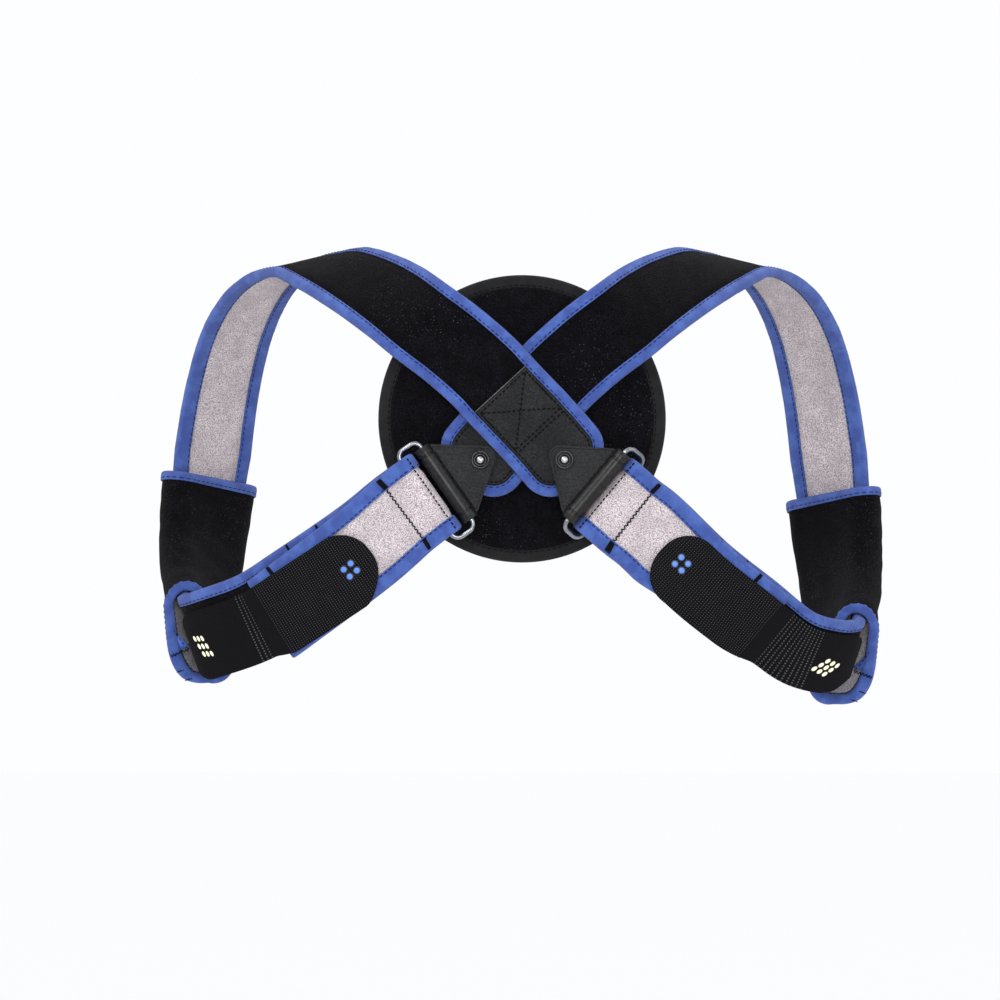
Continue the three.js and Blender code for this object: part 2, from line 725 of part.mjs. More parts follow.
// Padded disc with a thin edge, and the tape ring that binds it
function padBody() {
  const edgeOut = padRadius - tapeThickness - gap;
  const edgeIn = padRadius - padBandWidth - gap;
  const back = gap + tapeThickness;
  const profile = [
    [0, -padThickness],
    [edgeIn - padDomeWidth, -padThickness],
    [edgeIn - padDomeWidth / 3, -(padThickness + padShoulderThickness) / 2],
    [edgeIn - gap, -padShoulderThickness],
    [edgeIn, -back - padEdgeThickness],
    [edgeOut, -back - padEdgeThickness],
    [edgeOut, -back],
    [edgeIn, -back],
    [edgeIn - gap, 0],
    [0, 0],
  ];
  return new THREE.LatheGeometry(profile.map(([x, y]) => new THREE.Vector2(x, y)), roundSides);
}

function padEdging() {
  const inner = padRadius - padBandWidth;
  const profile = [
    [padRadius, -padBandHeight],
    [padRadius, 0],
    [inner, 0],
    [inner, -tapeThickness],
    [padRadius - tapeThickness, -tapeThickness],
    [padRadius - tapeThickness, tapeThickness - padBandHeight],
    [inner, tapeThickness - padBandHeight],
    [inner, -padBandHeight],
  ];
  return carryRound(profile, roundSides, (station, point) => {
    const angle = (2 * Math.PI * station) / roundSides;
    return vec(point.x * Math.sin(angle), point.y, point.x * Math.cos(angle));
  });
}

// Materials
const materials = {
  velour: new THREE.MeshStandardMaterial({ color: 0x141216, roughness: 0.95, metalness: 0 }),
  padTape: new THREE.MeshStandardMaterial({ color: 0x1a1a1d, roughness: 0.9, metalness: 0 }),
  tape: new THREE.MeshStandardMaterial({ color: 0x4b6ec8, roughness: 0.85, metalness: 0 }),
  facing: new THREE.MeshStandardMaterial({ color: 0x2d2f32, roughness: 0.6, metalness: 0 }),
  moulding: new THREE.MeshStandardMaterial({ color: 0x323437, roughness: 0.55, metalness: 0 }),
  metal: new THREE.MeshStandardMaterial({ color: 0xb8bcc0, roughness: 0.3, metalness: 1 }),
  blackMetal: new THREE.MeshStandardMaterial({ color: 0x2a2b2e, roughness: 0.4, metalness: 0.8 }),
  webbing: new THREE.MeshStandardMaterial({ color: 0x1c1c1e, roughness: 0.9, metalness: 0 }),
};

// Assembly
const brace = new THREE.Group();

function add(parent, name, geometry, material) {
  const mesh = new THREE.Mesh(geometry, materials[material]);
  mesh.name = name;
  parent.add(mesh);
}

add(brace, 'back_pad', padBody(), 'velour');
add(brace, 'back_pad_edging', padEdging(), 'padTape');

['left', 'right'].forEach((side) => {
  const { clip, body, run } = layStrap(side);
  const ownTip = clipPlace(otherSide[side]).rivet;
  const holes = rivetHoles(ownTip, stackLevel[side]);
  add(brace, `${side}_strap`, cut(strapCore(run), holes), 'velour');
  add(brace, `${side}_strap_binding`, strapBinding(run), 'tape');
  add(brace, `${side}_strap_end_facing`, cut(endFacing(run), [holes[0]]), 'facing');

  const mouthPoint = loopPoint(side, loopRows.at(-1));
  const mouth = body.find((frame) => frame.point.distanceTo(mouthPoint) < gap).at;
  const front = body.filter((frame) => frame.at <= mouth - sleeveLength).at(-1).at;
  add(brace, `${side}_closure`, closureBody(side, body, body.at(-1).at - mouth), 'webbing');
  add(brace, `${side}_underarm_sleeve`, sleeveBody(run, front, mouth), 'velour');
  add(brace, `${side}_sleeve_back_edging`, sleeveEdging(run, mouth, -1, mouth), 'tape');
  add(brace, `${side}_sleeve_front_edging`, sleeveEdging(run, front, 1, mouth), 'tape');

  const group = new THREE.Group();
  group.position.copy(clip.barrel);
  const outOfBack = vec(0, -1, 0);
  const long = clip.inward.clone().cross(outOfBack);
  group.quaternion.setFromRotationMatrix(new THREE.Matrix4().makeBasis(long, clip.inward, outOfBack));
  add(group, `${side}_clip`, clipBody(), 'moulding');
  add(group, `${side}_ring`, ringBody(clip.ringOut), 'metal');
  const rivet = new THREE.Group();
  rivet.position.set(0, rivetFromBarrel, 0);
  add(rivet, `${side}_rivet`, rivetBody(), 'blackMetal');
  group.add(rivet);
  brace.add(group);
});

export default brace;
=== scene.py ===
import math

import bpy
from mathutils import Matrix, Quaternion, Vector, noise


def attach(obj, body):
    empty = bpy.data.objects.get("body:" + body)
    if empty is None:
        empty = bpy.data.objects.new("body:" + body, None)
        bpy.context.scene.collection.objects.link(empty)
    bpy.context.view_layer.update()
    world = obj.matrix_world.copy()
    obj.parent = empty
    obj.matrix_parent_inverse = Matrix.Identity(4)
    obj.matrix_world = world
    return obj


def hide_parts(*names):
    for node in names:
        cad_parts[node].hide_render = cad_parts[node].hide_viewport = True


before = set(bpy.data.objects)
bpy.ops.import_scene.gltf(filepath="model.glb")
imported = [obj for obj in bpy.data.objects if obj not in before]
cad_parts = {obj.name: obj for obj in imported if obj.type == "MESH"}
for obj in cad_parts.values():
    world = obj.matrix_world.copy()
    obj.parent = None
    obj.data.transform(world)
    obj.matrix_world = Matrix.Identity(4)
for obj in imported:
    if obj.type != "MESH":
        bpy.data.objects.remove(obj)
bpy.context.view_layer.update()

for loaded in bpy.context.selected_objects:
    loaded.select_set(False)

# Back pad
# A round cushion between the shoulder blades: looped velour over foam, with a seam that draws it down
# to a thin edge. It is cut as a disc, padded in the middle, and its edge is closed by folded tape.

PAD_RADIUS = 82.5
PAD_THICKNESS = 10.0
PAD_BAND = 7.0
PAD_SEAM_LEVEL = 6.3
MM = 0.001


def add_node(tree, kind, values, **settings):
    """A shader node with its settings, each input given a value or linked to a socket."""
    made = tree.nodes.new(kind)
    for name, setting in settings.items():
        setattr(made, name, setting)
    for name, value in values.items():
        if isinstance(value, bpy.types.NodeSocket):
            tree.links.new(value, made.inputs[name])
        else:
            made.inputs[name].default_value = value
    return made


def maths(tree, operation, first, second=0.0, third=0.0):
    return add_node(tree, "ShaderNodeMath", {0: first, 1: second, 2: third}, operation=operation).outputs[0]


def blended(tree, factor, first, second):
    made = add_node(tree, "ShaderNodeMix", {0: factor, 6: first, 7: second}, data_type="RGBA")
    return made.outputs[2]


def shade_of(colour, factor):
    return [part * factor for part in colour[:3]] + [1.0]


def stepped(tree, value, low, high):
    values = {"Value": value, "From Min": low, "From Max": high}
    return add_node(tree, "ShaderNodeMapRange", values, interpolation_type="SMOOTHSTEP").outputs[0]


def clouds(tree, vector, scale, detail):
    """Soft noise that drifts from place to place."""
    values = {"Vector": vector, "Scale": scale, "Detail": detail}
    return add_node(tree, "ShaderNodeTexNoise", values).outputs[0]


def place_on(tree, kind="Object"):
    """Where a point lies, in the piece's own space or on its UV map."""
    return add_node(tree, "ShaderNodeTexCoord", {}).outputs[kind]


def open_group(name, inputs, outputs):
    """A node group with its named sockets, and the nodes that carry them in and out."""
    tree = bpy.data.node_groups.new(name, "ShaderNodeTree")
    for label, kind in inputs:
        tree.interface.new_socket(label, in_out="INPUT", socket_type=kind)
    for label, kind in outputs:
        tree.interface.new_socket(label, in_out="OUTPUT", socket_type=kind)
    return tree, tree.nodes.new("NodeGroupInput").outputs, tree.nodes.new("NodeGroupOutput").inputs


# Loops of a brushed knit: small tufts, soft patches where the pile leans,
# and painted glints: a few tuft tops painted light as a painted highlight
pile_tree, taken, given = open_group(
    "looped_pile",
    [("Vector", "NodeSocketVector"), ("Tufts per Metre", "NodeSocketFloat")],
    [("Height", "NodeSocketFloat"), ("Patches", "NodeSocketFloat"), ("Bright Loops", "NodeSocketFloat")],
)
tufts = add_node(pile_tree, "ShaderNodeTexVoronoi", {"Vector": taken[0], "Scale": taken[1]})
strands = clouds(pile_tree, taken[0], scale=2600.0, detail=3.0)
rounded = maths(pile_tree, "SUBTRACT", 1.0, tufts.outputs["Distance"])
pile_tree.links.new(maths(pile_tree, "MULTIPLY_ADD", strands, 0.7, rounded), given["Height"])
lean = clouds(pile_tree, taken[0], scale=95.0, detail=4.0)
pile_tree.links.new(stepped(pile_tree, lean, 0.35, 0.68), given["Patches"])
chosen = add_node(pile_tree, "ShaderNodeSeparateColor", {"Color": tufts.outputs["Color"]})
rare = stepped(pile_tree, chosen.outputs[0], 0.88, 0.98)
tip = stepped(pile_tree, rounded, 0.5, 0.85)
gathered = stepped(pile_tree, clouds(pile_tree, taken[0], scale=22.0, detail=3.0), 0.4, 0.66)
shown = maths(pile_tree, "MULTIPLY_ADD", gathered, 0.9, 0.1)
# Painted highlight: rare tuft tops, gathered in clouds, that the colour shows as glints
painted_glints = maths(pile_tree, "MULTIPLY", maths(pile_tree, "MULTIPLY", rare, tip), shown)
pile_tree.links.new(painted_glints, given["Bright Loops"])


def new_material(name, roughness, metallic=0.0, **constants):
    """A material with its Principled shader, its constant values set on the shader's own sockets."""
    made = bpy.data.materials.new(name)
    made.use_nodes = True
    shader = made.node_tree.nodes["Principled BSDF"]
    shader.inputs["Roughness"].default_value = roughness
    shader.inputs["Metallic"].default_value = metallic
    for label, value in constants.items():
        shader.inputs[label.replace("_", " ")].default_value = value
    return made, made.node_tree, shader


def raise_relief(tree, shader, height, depth):
    bump = add_node(tree, "ShaderNodeBump", {"Height": height, "Distance": depth, "Strength": 1.0})
    tree.links.new(bump.outputs[0], shader.inputs["Normal"])


def pile_material(name, dark, light, painted_glint_colour, tufts_per_metre, depth, sheen, gloss):
    made, tree, shader = new_material(
        name, 0.95, Sheen_Weight=sheen, Sheen_Roughness=0.5, Specular_IOR_Level=gloss)
    values = {"Vector": place_on(tree), "Tufts per Metre": tufts_per_metre}
    pile = add_node(tree, "ShaderNodeGroup", values, node_tree=pile_tree)
    body = blended(tree, pile.outputs["Patches"], dark, light)
    # Painted shade: the hollows between the tufts are darkened to under half the pile's dark colour
    valley = stepped(tree, pile.outputs["Height"], 0.55, 1.25)
    pile_with_painted_shade = blended(tree, valley, shade_of(dark, 0.45), body)
    # The painted glints go on top of the pile's colour
    tree.links.new(blended(tree, pile.outputs["Bright Loops"], pile_with_painted_shade, painted_glint_colour), shader.inputs["Base Color"])
    raise_relief(tree, shader, pile.outputs["Height"], depth)
    return made


velour = pile_material("black_velour", dark=(0.0035, 0.0032, 0.0045, 1), light=(0.007, 0.0064, 0.009, 1),
                       painted_glint_colour=(0.055, 0.055, 0.075, 1), tufts_per_metre=1250.0, depth=0.0004,
                       sheen=0.03, gloss=0.02)


def edit_only(piece):
    for other in bpy.context.selected_objects:
        other.select_set(False)
    piece.select_set(True)
    bpy.context.view_layer.objects.active = piece


def face_outwards(piece):
    """All faces of a closed piece turned outwards, in edit mode."""
    edit_only(piece)
    bpy.ops.object.mode_set(mode="EDIT")
    bpy.ops.mesh.select_all(action="SELECT")
    bpy.ops.mesh.normals_make_consistent(inside=False)
    bpy.ops.object.mode_set(mode="OBJECT")


def finish_piece(piece, *nodes, slot):
    """The piece rides on the brace and stands for its CAD nodes, which are hidden. The slot is not used."""
    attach(piece, "root")
    if nodes:
        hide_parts(*nodes)
    piece.select_set(False)


def turned(name, profile, steps, material):
    """A profile in the X-Y plane spun once round the Y axis, in edit mode, with its doubles merged."""
    mesh = bpy.data.meshes.new(name)
    points = [Vector((x, y, 0)) * MM for x, y in profile]
    mesh.from_pydata(points, [(k, k + 1) for k in range(len(points) - 1)], [])
    piece = bpy.data.objects.new(name, mesh)
    bpy.context.collection.objects.link(piece)
    edit_only(piece)
    bpy.ops.object.mode_set(mode="EDIT")
    bpy.ops.mesh.select_all(action="SELECT")
    bpy.ops.mesh.spin(steps=steps, angle=2 * math.pi, center=(0, 0, 0), axis=(0, 1, 0))
    bpy.ops.mesh.select_all(action="SELECT")
    bpy.ops.mesh.remove_doubles(threshold=2e-6)
    bpy.ops.object.mode_set(mode="OBJECT")
    face_outwards(piece)
    mesh.materials.append(material)
    mesh.shade_smooth()
    piece.select_set(False)
    return piece


SEAM_RADIUS = PAD_RADIUS - PAD_BAND
FALL_LENGTH = 17.0


def pad_front(radius):
    """Depth of the pad's outer face at a radius: a flat cushion that falls away to its seam."""
    share = min(1.0, max(0.0, (SEAM_RADIUS - 0.3 - radius) / FALL_LENGTH))
    dome = 1.0 - (1.0 - share) ** 2.2
    return -(PAD_SEAM_LEVEL + (PAD_THICKNESS - PAD_SEAM_LEVEL) * dome)


edge_radii = [PAD_RADIUS - 1.2, PAD_RADIUS - 4.0, SEAM_RADIUS]
under = list(zip(edge_radii[::-1], [-1.2, -1.2, -1.3]))
rim = list(zip(edge_radii, [-4.5, -4.6, -4.6]))
seam_radii = [75.2, 74.6, 73.6, 72.2]
field_radii = [70.0 - 2.5 * k for k in range(28)] + [0.0]
front = [(radius, pad_front(radius)) for radius in seam_radii + field_radii]
back = [(radius, 0.0) for radius in [0.0] + field_radii[::-1][1:] + seam_radii[::-1][:3]]
back_pad = turned("back_pad_cushion", back + under + rim + front, 160, velour)

# The foam swells under the velour between the seam and the middle, as air in a closed cushion does
SETTLING_FRAMES = 20
SWELL_LIMIT = 0.0012
FRONT_SIDE = -0.003
still = back_pad.vertex_groups.new(name="sewn")
for vertex in back_pad.data.vertices:
    reach = math.hypot(vertex.co.x, vertex.co.z) / MM
    loose = min(1.0, max(0.0, (SEAM_RADIUS - reach) / 12.0)) if vertex.co.y < FRONT_SIDE else 0.0
    still.add([vertex.index], 1.0 - 0.98 * loose, "REPLACE")
rest = [vertex.co.copy() for vertex in back_pad.data.vertices]
cloth = back_pad.modifiers.new("swelling", "CLOTH")
cloth.settings.use_pressure = True
cloth.settings.uniform_pressure_force = 4.0
cloth.settings.effector_weights.gravity = 0.0
cloth.settings.vertex_group_mass = "sewn"
cloth.settings.pin_stiffness = 4.0
cloth.settings.quality = 5
cloth.point_cache.frame_start = 1
cloth.point_cache.frame_end = SETTLING_FRAMES
for step in range(1, SETTLING_FRAMES + 1):
    bpy.context.scene.frame_set(step)
bpy.context.view_layer.objects.active = back_pad
bpy.ops.object.modifier_apply(modifier=cloth.name)
bpy.context.scene.frame_set(1)
back_pad.vertex_groups.clear()
for vertex, start in zip(back_pad.data.vertices, rest):
    moved = vertex.co - start
    if moved.length > SWELL_LIMIT:
        vertex.co = start + moved.normalized() * SWELL_LIMIT

DENTED_RADIUS = 73.0
for vertex in back_pad.data.vertices:
    reach = math.hypot(vertex.co.x, vertex.co.z) / MM
    if vertex.co.y < FRONT_SIDE and reach < DENTED_RADIUS:
        soft = noise.noise(vertex.co * 55.0) * 0.55 + noise.noise(vertex.co * 150.0) * 0.2
        vertex.co.y += soft * MM * min(1.0, (DENTED_RADIUS - reach) / 15.0)
finish_piece(back_pad, "back_pad", slot="velour")

# Edging of the back pad
# Black knitted tape folded over the pad's thin edge and sewn through all round.
# The thread pulls the tape down at each stitch, so it puckers a little between them.

STITCH_PITCH = 3.4
knit_tree, taken, given = open_group(
    "knitted_tape",
    [("Along and Across", "NodeSocketVector"), ("Vector", "NodeSocketVector")],
    [("Height", "NodeSocketFloat"), ("Wear", "NodeSocketFloat")],
)
spread = add_node(knit_tree, "ShaderNodeSeparateXYZ", {0: taken[0]})
row = maths(knit_tree, "SINE", maths(knit_tree, "MULTIPLY", spread.outputs[0], 2 * math.pi / 0.0009))
wale = maths(knit_tree, "SINE", maths(knit_tree, "MULTIPLY", spread.outputs[1], 2 * math.pi / 0.0008))
yarn = maths(knit_tree, "MULTIPLY", row, wale)
fuzz = clouds(knit_tree, taken[1], scale=2400.0, detail=3.0)
knit_tree.links.new(maths(knit_tree, "MULTIPLY_ADD", fuzz, 0.8, yarn), given["Height"])
rubbed = clouds(knit_tree, taken[1], scale=130.0, detail=5.0)
knit_tree.links.new(stepped(knit_tree, rubbed, 0.38, 0.66), given["Wear"])


def tape_material(name, dark, light, sheen):
    made, tree, shader = new_material(
        name, 0.86, Sheen_Weight=sheen, Sheen_Roughness=0.5, Specular_IOR_Level=0.25)
    values = {0: place_on(tree, "UV"), 1: place_on(tree)}
    knit = add_node(tree, "ShaderNodeGroup", values, node_tree=knit_tree)
    worn = blended(tree, knit.outputs["Wear"], dark, light)
    # Painted shade: the tape is darkened between its yarns
    painted_hollow_shade = stepped(tree, knit.outputs["Height"], -0.4, 1.1)
    tree.links.new(blended(tree, painted_hollow_shade, shade_of(dark, 0.6), worn), shader.inputs["Base Color"])
    raise_relief(tree, shader, knit.outputs["Height"], 0.00018)
    return made


black_tape = tape_material("black_knitted_tape", dark=(0.004, 0.004, 0.005, 1),
                           light=(0.011, 0.011, 0.013, 1), sheen=0.08)
blue_tape = tape_material("blue_knitted_tape", dark=(0.042, 0.085, 0.35, 1),
                          light=(0.078, 0.165, 0.54, 1), sheen=0.12)


def mesh_piece(name, points, faces, materials, spreads=None, slots=None):
    """A mesh written point by point in millimetres, with its own UV map of along and across in metres."""
    mesh = bpy.data.meshes.new(name)
    mesh.from_pydata([Vector(point) * MM for point in points], [], faces)
    layer = mesh.uv_layers.new(name="along_across")
    for face in mesh.polygons:
        for corner in face.loop_indices:
            along, across = spreads[face.index][corner - face.loop_start] if spreads else (0.0, 0.0)
            layer.data[corner].uv = (along * MM, across * MM)
    for material in materials:
        mesh.materials.append(material)
    if slots:
        mesh.polygons.foreach_set("material_index", slots)
    mesh.shade_smooth()
    mesh.validate()
    piece = bpy.data.objects.new(name, mesh)
    bpy.context.collection.objects.link(piece)
    return piece


def swept(name, stations, shape, materials, looped=False, slot_of=None):
    """A closed section carried along stations. shape gives the section's points in space at a station."""
    rings = [shape(station) for station in stations]
    points = [point for ring in rings for point in ring]
    count, around = len(rings), len(rings[0])
    typical, girth = rings[count // 2], [0.0]
    for k in range(around):
        girth.append(girth[-1] + (typical[(k + 1) % around] - typical[k]).length)
    faces, spreads, slots = [], [], []
    for i in range(count if looped else count - 1):
        j = (i + 1) % count
        start, end = stations[i]["at"], stations[j]["at"] if j else stations[i]["at"] + 1.0
        for k in range(around):
            n = (k + 1) % around
            faces.append((i * around + k, i * around + n, j * around + n, j * around + k))
            spreads.append([(start, girth[k]), (start, girth[k + 1]), (end, girth[k + 1]), (end, girth[k])])
            slots.append(slot_of(k) if slot_of else 0)
    if not looped:
        for base, order in ((0, range(around - 1, -1, -1)), ((count - 1) * around, range(around))):
            faces.append(tuple(base + k for k in order))
            spreads.append([(stations[0]["at"], girth[k]) for k in order])
            slots.append(0)
    return mesh_piece(name, points, faces, materials, spreads, slots)


PAD_STEPS = 480
pad_stations = []
for k in range(PAD_STEPS):
    turn = 2 * math.pi * k / PAD_STEPS
    outward = Vector((math.sin(turn), 0, math.cos(turn)))
    pad_stations.append({"point": outward * PAD_RADIUS, "out": Vector((0, -1, 0)), "across": outward,
                         "along": Vector((math.cos(turn), 0, -math.sin(turn))), "at": PAD_RADIUS * turn})
# The folded tape in section: across from the pad's rim, and out from its body side
PAD_TAPE = [(0, 0.6), (0, 5.2), (-0.5, 5.7), (-1.6, 5.85), (-3.2, 5.8), (-4.6, 5.7), (-5.7, 5.45),
            (-6.5, 5.6), (-7.0, 5.3), (-7.0, 4.9), (-1.3, 4.85), (-0.95, 4.6), (-0.95, 1.2), (-1.3, 0.95),
            (-7.0, 0.9), (-7.0, 0.3), (-6.3, 0.05), (-0.5, 0.0)]
PAD_TAPE_FACE = 5.25


def pad_tape_section(station):
    pull = 0.16 * math.cos(2 * math.pi * station["at"] / STITCH_PITCH)
    soft = 0.18 * noise.noise(station["point"] * 0.09)
    ring = []
    for x, y in PAD_TAPE:
        lift = (pull * (1.0 if x < -3 else 0.35) + soft) if y > PAD_TAPE_FACE else 0.0
        spot = station["point"] + station["across"] * min(0.0, x + soft * 0.3)
        ring.append(spot + station["out"] * max(0.0, y + lift - 0.1))
    return ring


pad_edging = swept("back_pad_tape", pad_stations, pad_tape_section, [black_tape], looped=True)
finish_piece(pad_edging, "back_pad_edging", slot="pad_tape")


def thread_material(name, colour):
    made, tree, shader = new_material(name, 0.85, Specular_IOR_Level=0.04)
    twist = clouds(tree, place_on(tree), scale=3500.0, detail=2.0)
    tree.links.new(blended(tree, twist, colour, shade_of(colour, 1.9)), shader.inputs["Base Color"])
    raise_relief(tree, shader, twist, 0.0001)
    return made


black_thread = thread_material("black_thread", (0.003, 0.003, 0.004, 1))
navy_thread = thread_material("navy_thread", (0.004, 0.006, 0.022, 1))


def stitches(name, runs, material, thick=0.26):
    """Short arched threads, one for each (start, end, out) in millimetres, all in one mesh."""
    rings, sides, bow, sunk = 5, 5, 0.3, 0.12
    points, faces = [], []
    for start, end, out in runs:
        course = (end - start).normalized()
        side = out.cross(course).normalized()
        base = len(points)
        for step in range(rings):
            share = step / (rings - 1)
            middle = start.lerp(end, share) + out * (bow * math.sin(math.pi * share) - sunk)
            girth = thick * (0.55 if step in (0, rings - 1) else 1.0)
            for corner in range(sides):
                angle = 2 * math.pi * corner / sides
                points.append(middle + side * (girth * math.cos(angle)) + out * (girth * math.sin(angle)))
        for step in range(rings - 1):
            for corner in range(sides):
                near, far = base + step * sides, base + (step + 1) * sides
                after = (corner + 1) % sides
                faces.append((near + corner, near + after, far + after, far + corner))
        faces.append(tuple(base + corner for corner in range(sides - 1, -1, -1)))
        faces.append(tuple(base + (rings - 1) * sides + corner for corner in range(sides)))
    return mesh_piece(name, points, faces, [material])


PAD_SEWING = 76.6
SEWING_LEVEL = 5.5
pad_runs = []
stitch_count = int(2 * math.pi * PAD_SEWING / STITCH_PITCH)
half_stitch = 0.36 * STITCH_PITCH / PAD_SEWING
for k in range(stitch_count):
    turn = 2 * math.pi * k / stitch_count
    ends = [Vector((math.sin(angle), 0, math.cos(angle))) * PAD_SEWING + Vector((0, -SEWING_LEVEL, 0))
            for angle in (turn - half_stitch, turn + half_stitch)]
    pad_runs.append((ends[0], ends[1], Vector((0, -1, 0))))
pad_stitching = stitches("back_pad_stitching", pad_runs, black_thread)
finish_piece(pad_stitching, slot="pad_tape")

# Shoulder straps
# One padded strap for each shoulder: looped velour outside, brushed grey lining inside, foam between.
# Each runs from its rounded tip at the crossing over the shoulder, round the armpit and back to its ring,
# where it turns round the wire and lies folded back on itself with the lining outwards.

STRAP_WIDTH = 52.0
STRAP_THICKNESS = 5.0
STRAP_EDGE = 3.4
TIP_RADIUS = 18.0
FOLD_BACK = 113.0
SHOULDER_RISE = 92.5
ARMPIT_REACH = 191.5
LOOP_DEPTH = 141.0
ARMPIT_DROP = {"left": 126.0, "right": 139.0}
BARREL_TURN = {"left": 34.8, "right": 40.1}
FOLD_SHIFT = {"left": 6.0, "right": 2.0}
MIRROR = {"left": -1, "right": 1}
OTHER = {"left": "right", "right": "left"}
GAP = 0.3
STRAP_HALF = STRAP_EDGE / 2 + GAP + 0.9
PAD_LEVEL = PAD_THICKNESS + GAP + STRAP_HALF
FACING_TOP = STRAP_THICKNESS / 2 + GAP + 1.0
LEVEL = {"left": PAD_LEVEL + FACING_TOP + GAP + STRAP_HALF, "right": PAD_LEVEL}
PLATE_MID = FACING_TOP + GAP + 1.0
FOLD_RADIUS = 1.5 + GAP + STRAP_HALF
BAR_LEVEL = PAD_THICKNESS + GAP + STRAP_HALF + FOLD_RADIUS
LAYER = 2 * STRAP_HALF + GAP
RIVET_TO_BARREL = 23.5
RIVET_TO_TIP = 15.5
RING_SPACING = 14.0
STATION_SPACING = 2.4
STRAIGHT_END = 15.0
TURN_STEPS = 14
FOLD_STEPS = 46
# Where a strap's lower edge is drawn in: distance from the ring, length over which it grows, by how much
DRAWN_IN = {
    "left": [],
    "right": [(38.0, 25.0, 4.0), (95.0, 35.0, 4.0), (165.0, 20.0, 3.0), (212.0, 25.0, -11.0)],
}

# Over the pad: out and rise as shares of the pad's radius, share of the strap's own level, facing
PAD_ROWS = [(-0.412, -0.43, 1, (0, -1, 0)), (-0.154, -0.126, 1, (0, -1, 0)),
            (0.14, 0.185, 1, (0, -1, 0)), (0.26, 0.315, 1, (0, -1, 0)),
            (0.474, 0.505, 0.28, (0, -1, 0)), (0.697, 0.673, 0, (0.02, -0.99, 0.1))]
# Off the pad: out, forward and rise as shares of the loop's reach, depth and height, facing where it is held
LOOP_ROWS = [(0.375, -0.028, 0.721, None), (0.463, 0.078, 0.84, None), (0.579, 0.234, 0.96, None),
             (0.6475, 0.383, 1, (0.24, -0.08, 0.97)), (0.736, 0.553, 0.968, None),
             (0.825, 0.716, 0.832, None), (0.898, 0.865, 0.584, None), (0.95, 0.965, 0.216, None),
             (0.982, 1, -0.143, (0.55, 0.83, -0.03)), (1.003, 0.965, -0.43, None),
             (1.013, 0.879, -0.65, None), (1.013, 0.745, -0.817, None),
             (1, 0.596, -0.93, None), (0.992, 0.454, -0.996, (0.93, -0.02, -0.36))]
LOWER_ROWS = {
    "left": [(1, 0.348, -1.008, None), (0.94, 0.241, -0.98, None), (0.803, 0.128, -0.902, None),
             (0.671, 0.035, -0.777, None), (0.459, -0.071, -0.558, None)],
    "right": [(1, 0.348, -1.011, None), (0.94, 0.241, -1.014, None), (0.824, 0.135, -0.969, None),
              (0.678, 0.035, -0.816, None), (0.533, -0.035, -0.66, None), (0.375, -0.083, -0.454, None)],
}


def pad_point(side, row):
    level = PAD_LEVEL + (LEVEL[side] - PAD_LEVEL) * row[2]
    return Vector((MIRROR[side] * row[0] * PAD_RADIUS, -level, row[1] * PAD_RADIUS))


def loop_point(side, row):
    height = row[2] * (SHOULDER_RISE if row[2] > 0 else ARMPIT_DROP[side])
    return Vector((MIRROR[side] * row[0] * ARMPIT_REACH, row[1] * LOOP_DEPTH, height))


def squared(point, along, facing):
    out = (facing - along * facing.dot(along)).normalized()
    return {"point": point, "along": along, "out": out, "across": out.cross(along)}


def clip_place(side):
    """The clip on one side sits on the end of the strap that comes from the other shoulder."""
    tip, after = (pad_point(OTHER[side], row) for row in PAD_ROWS[:2])
    rivet = tip + (after - tip).normalized() * RIVET_TO_TIP
    turn = math.radians(BARREL_TURN[side])
    inward = Vector((-MIRROR[side] * math.cos(turn), 0, math.sin(turn)))
    level = LEVEL[OTHER[side]] + PLATE_MID
    barrel = rivet - inward * RIVET_TO_BARREL
    barrel.y = -level
    dip = level - BAR_LEVEL
    ring_out = inward * -math.sqrt(RING_SPACING ** 2 - dip ** 2)
    ring_out.y = dip
    return {"inward": inward, "barrel": barrel, "ring_out": ring_out, "bar": barrel + ring_out}


def curve_through(points, spacing):
    """Points, directions and row numbers along a smooth curve through points, as a bent strap takes it."""
    ends = [points[0] * 2 - points[1], *points, points[-1] * 2 - points[-2]]
    spots = []
    for k in range(len(points) - 1):
        p0, p1, p2, p3 = ends[k:k + 4]
        d0, d1, d2 = (max((b - a).length ** 0.5, 0.01) for a, b in ((p0, p1), (p1, p2), (p2, p3)))
        t1 = ((p1 - p0) / d0 - (p2 - p0) / (d0 + d1) + (p2 - p1) / d1) * d1
        t2 = ((p2 - p1) / d1 - (p3 - p1) / (d1 + d2) + (p3 - p2) / d2) * d1
        c2, c3 = (p2 - p1) * 3 - t1 * 2 - t2, (p1 - p2) * 2 + t1 + t2
        steps = max(2, round((p2 - p1).length / spacing))
        last = 1 if k == len(points) - 2 else 0
        for step in range(steps + last):
            t = step / steps
            along = t1 + c2 * (2 * t) + c3 * (3 * t * t)
            spots.append((p1 + t1 * t + c2 * t * t + c3 * t ** 3, along.normalized(), k + t))
    return spots


def measured(stations):
    reached = 0.0
    for k, station in enumerate(stations):
        reached += (station["point"] - stations[k - 1]["point"]).length if k else 0.0
        station["at"] = reached
    return stations


def station_at(run, at):
    low, high = 0, len(run) - 1
    while high - low > 1:
        middle = (low + high) // 2
        low, high = (middle, high) if run[middle]["at"] < at else (low, middle)
    share = (at - run[low]["at"]) / (run[high]["at"] - run[low]["at"])
    names = ("point", "along", "out", "across")
    mixed = {name: run[low][name].lerp(run[high][name], share) for name in names}
    for name in names[1:]:
        mixed[name].normalize()
    mixed["at"] = at
    drawn = [run[k].get("drawn", 0.0) for k in (low, high)]
    mixed["drawn"] = drawn[0] + (drawn[1] - drawn[0]) * share
    return mixed


def stretch(run, start, end, spacing):
    count = max(1, round((end - start) / spacing))
    return [station_at(run, start + (end - start) * k / count) for k in range(count + 1)]


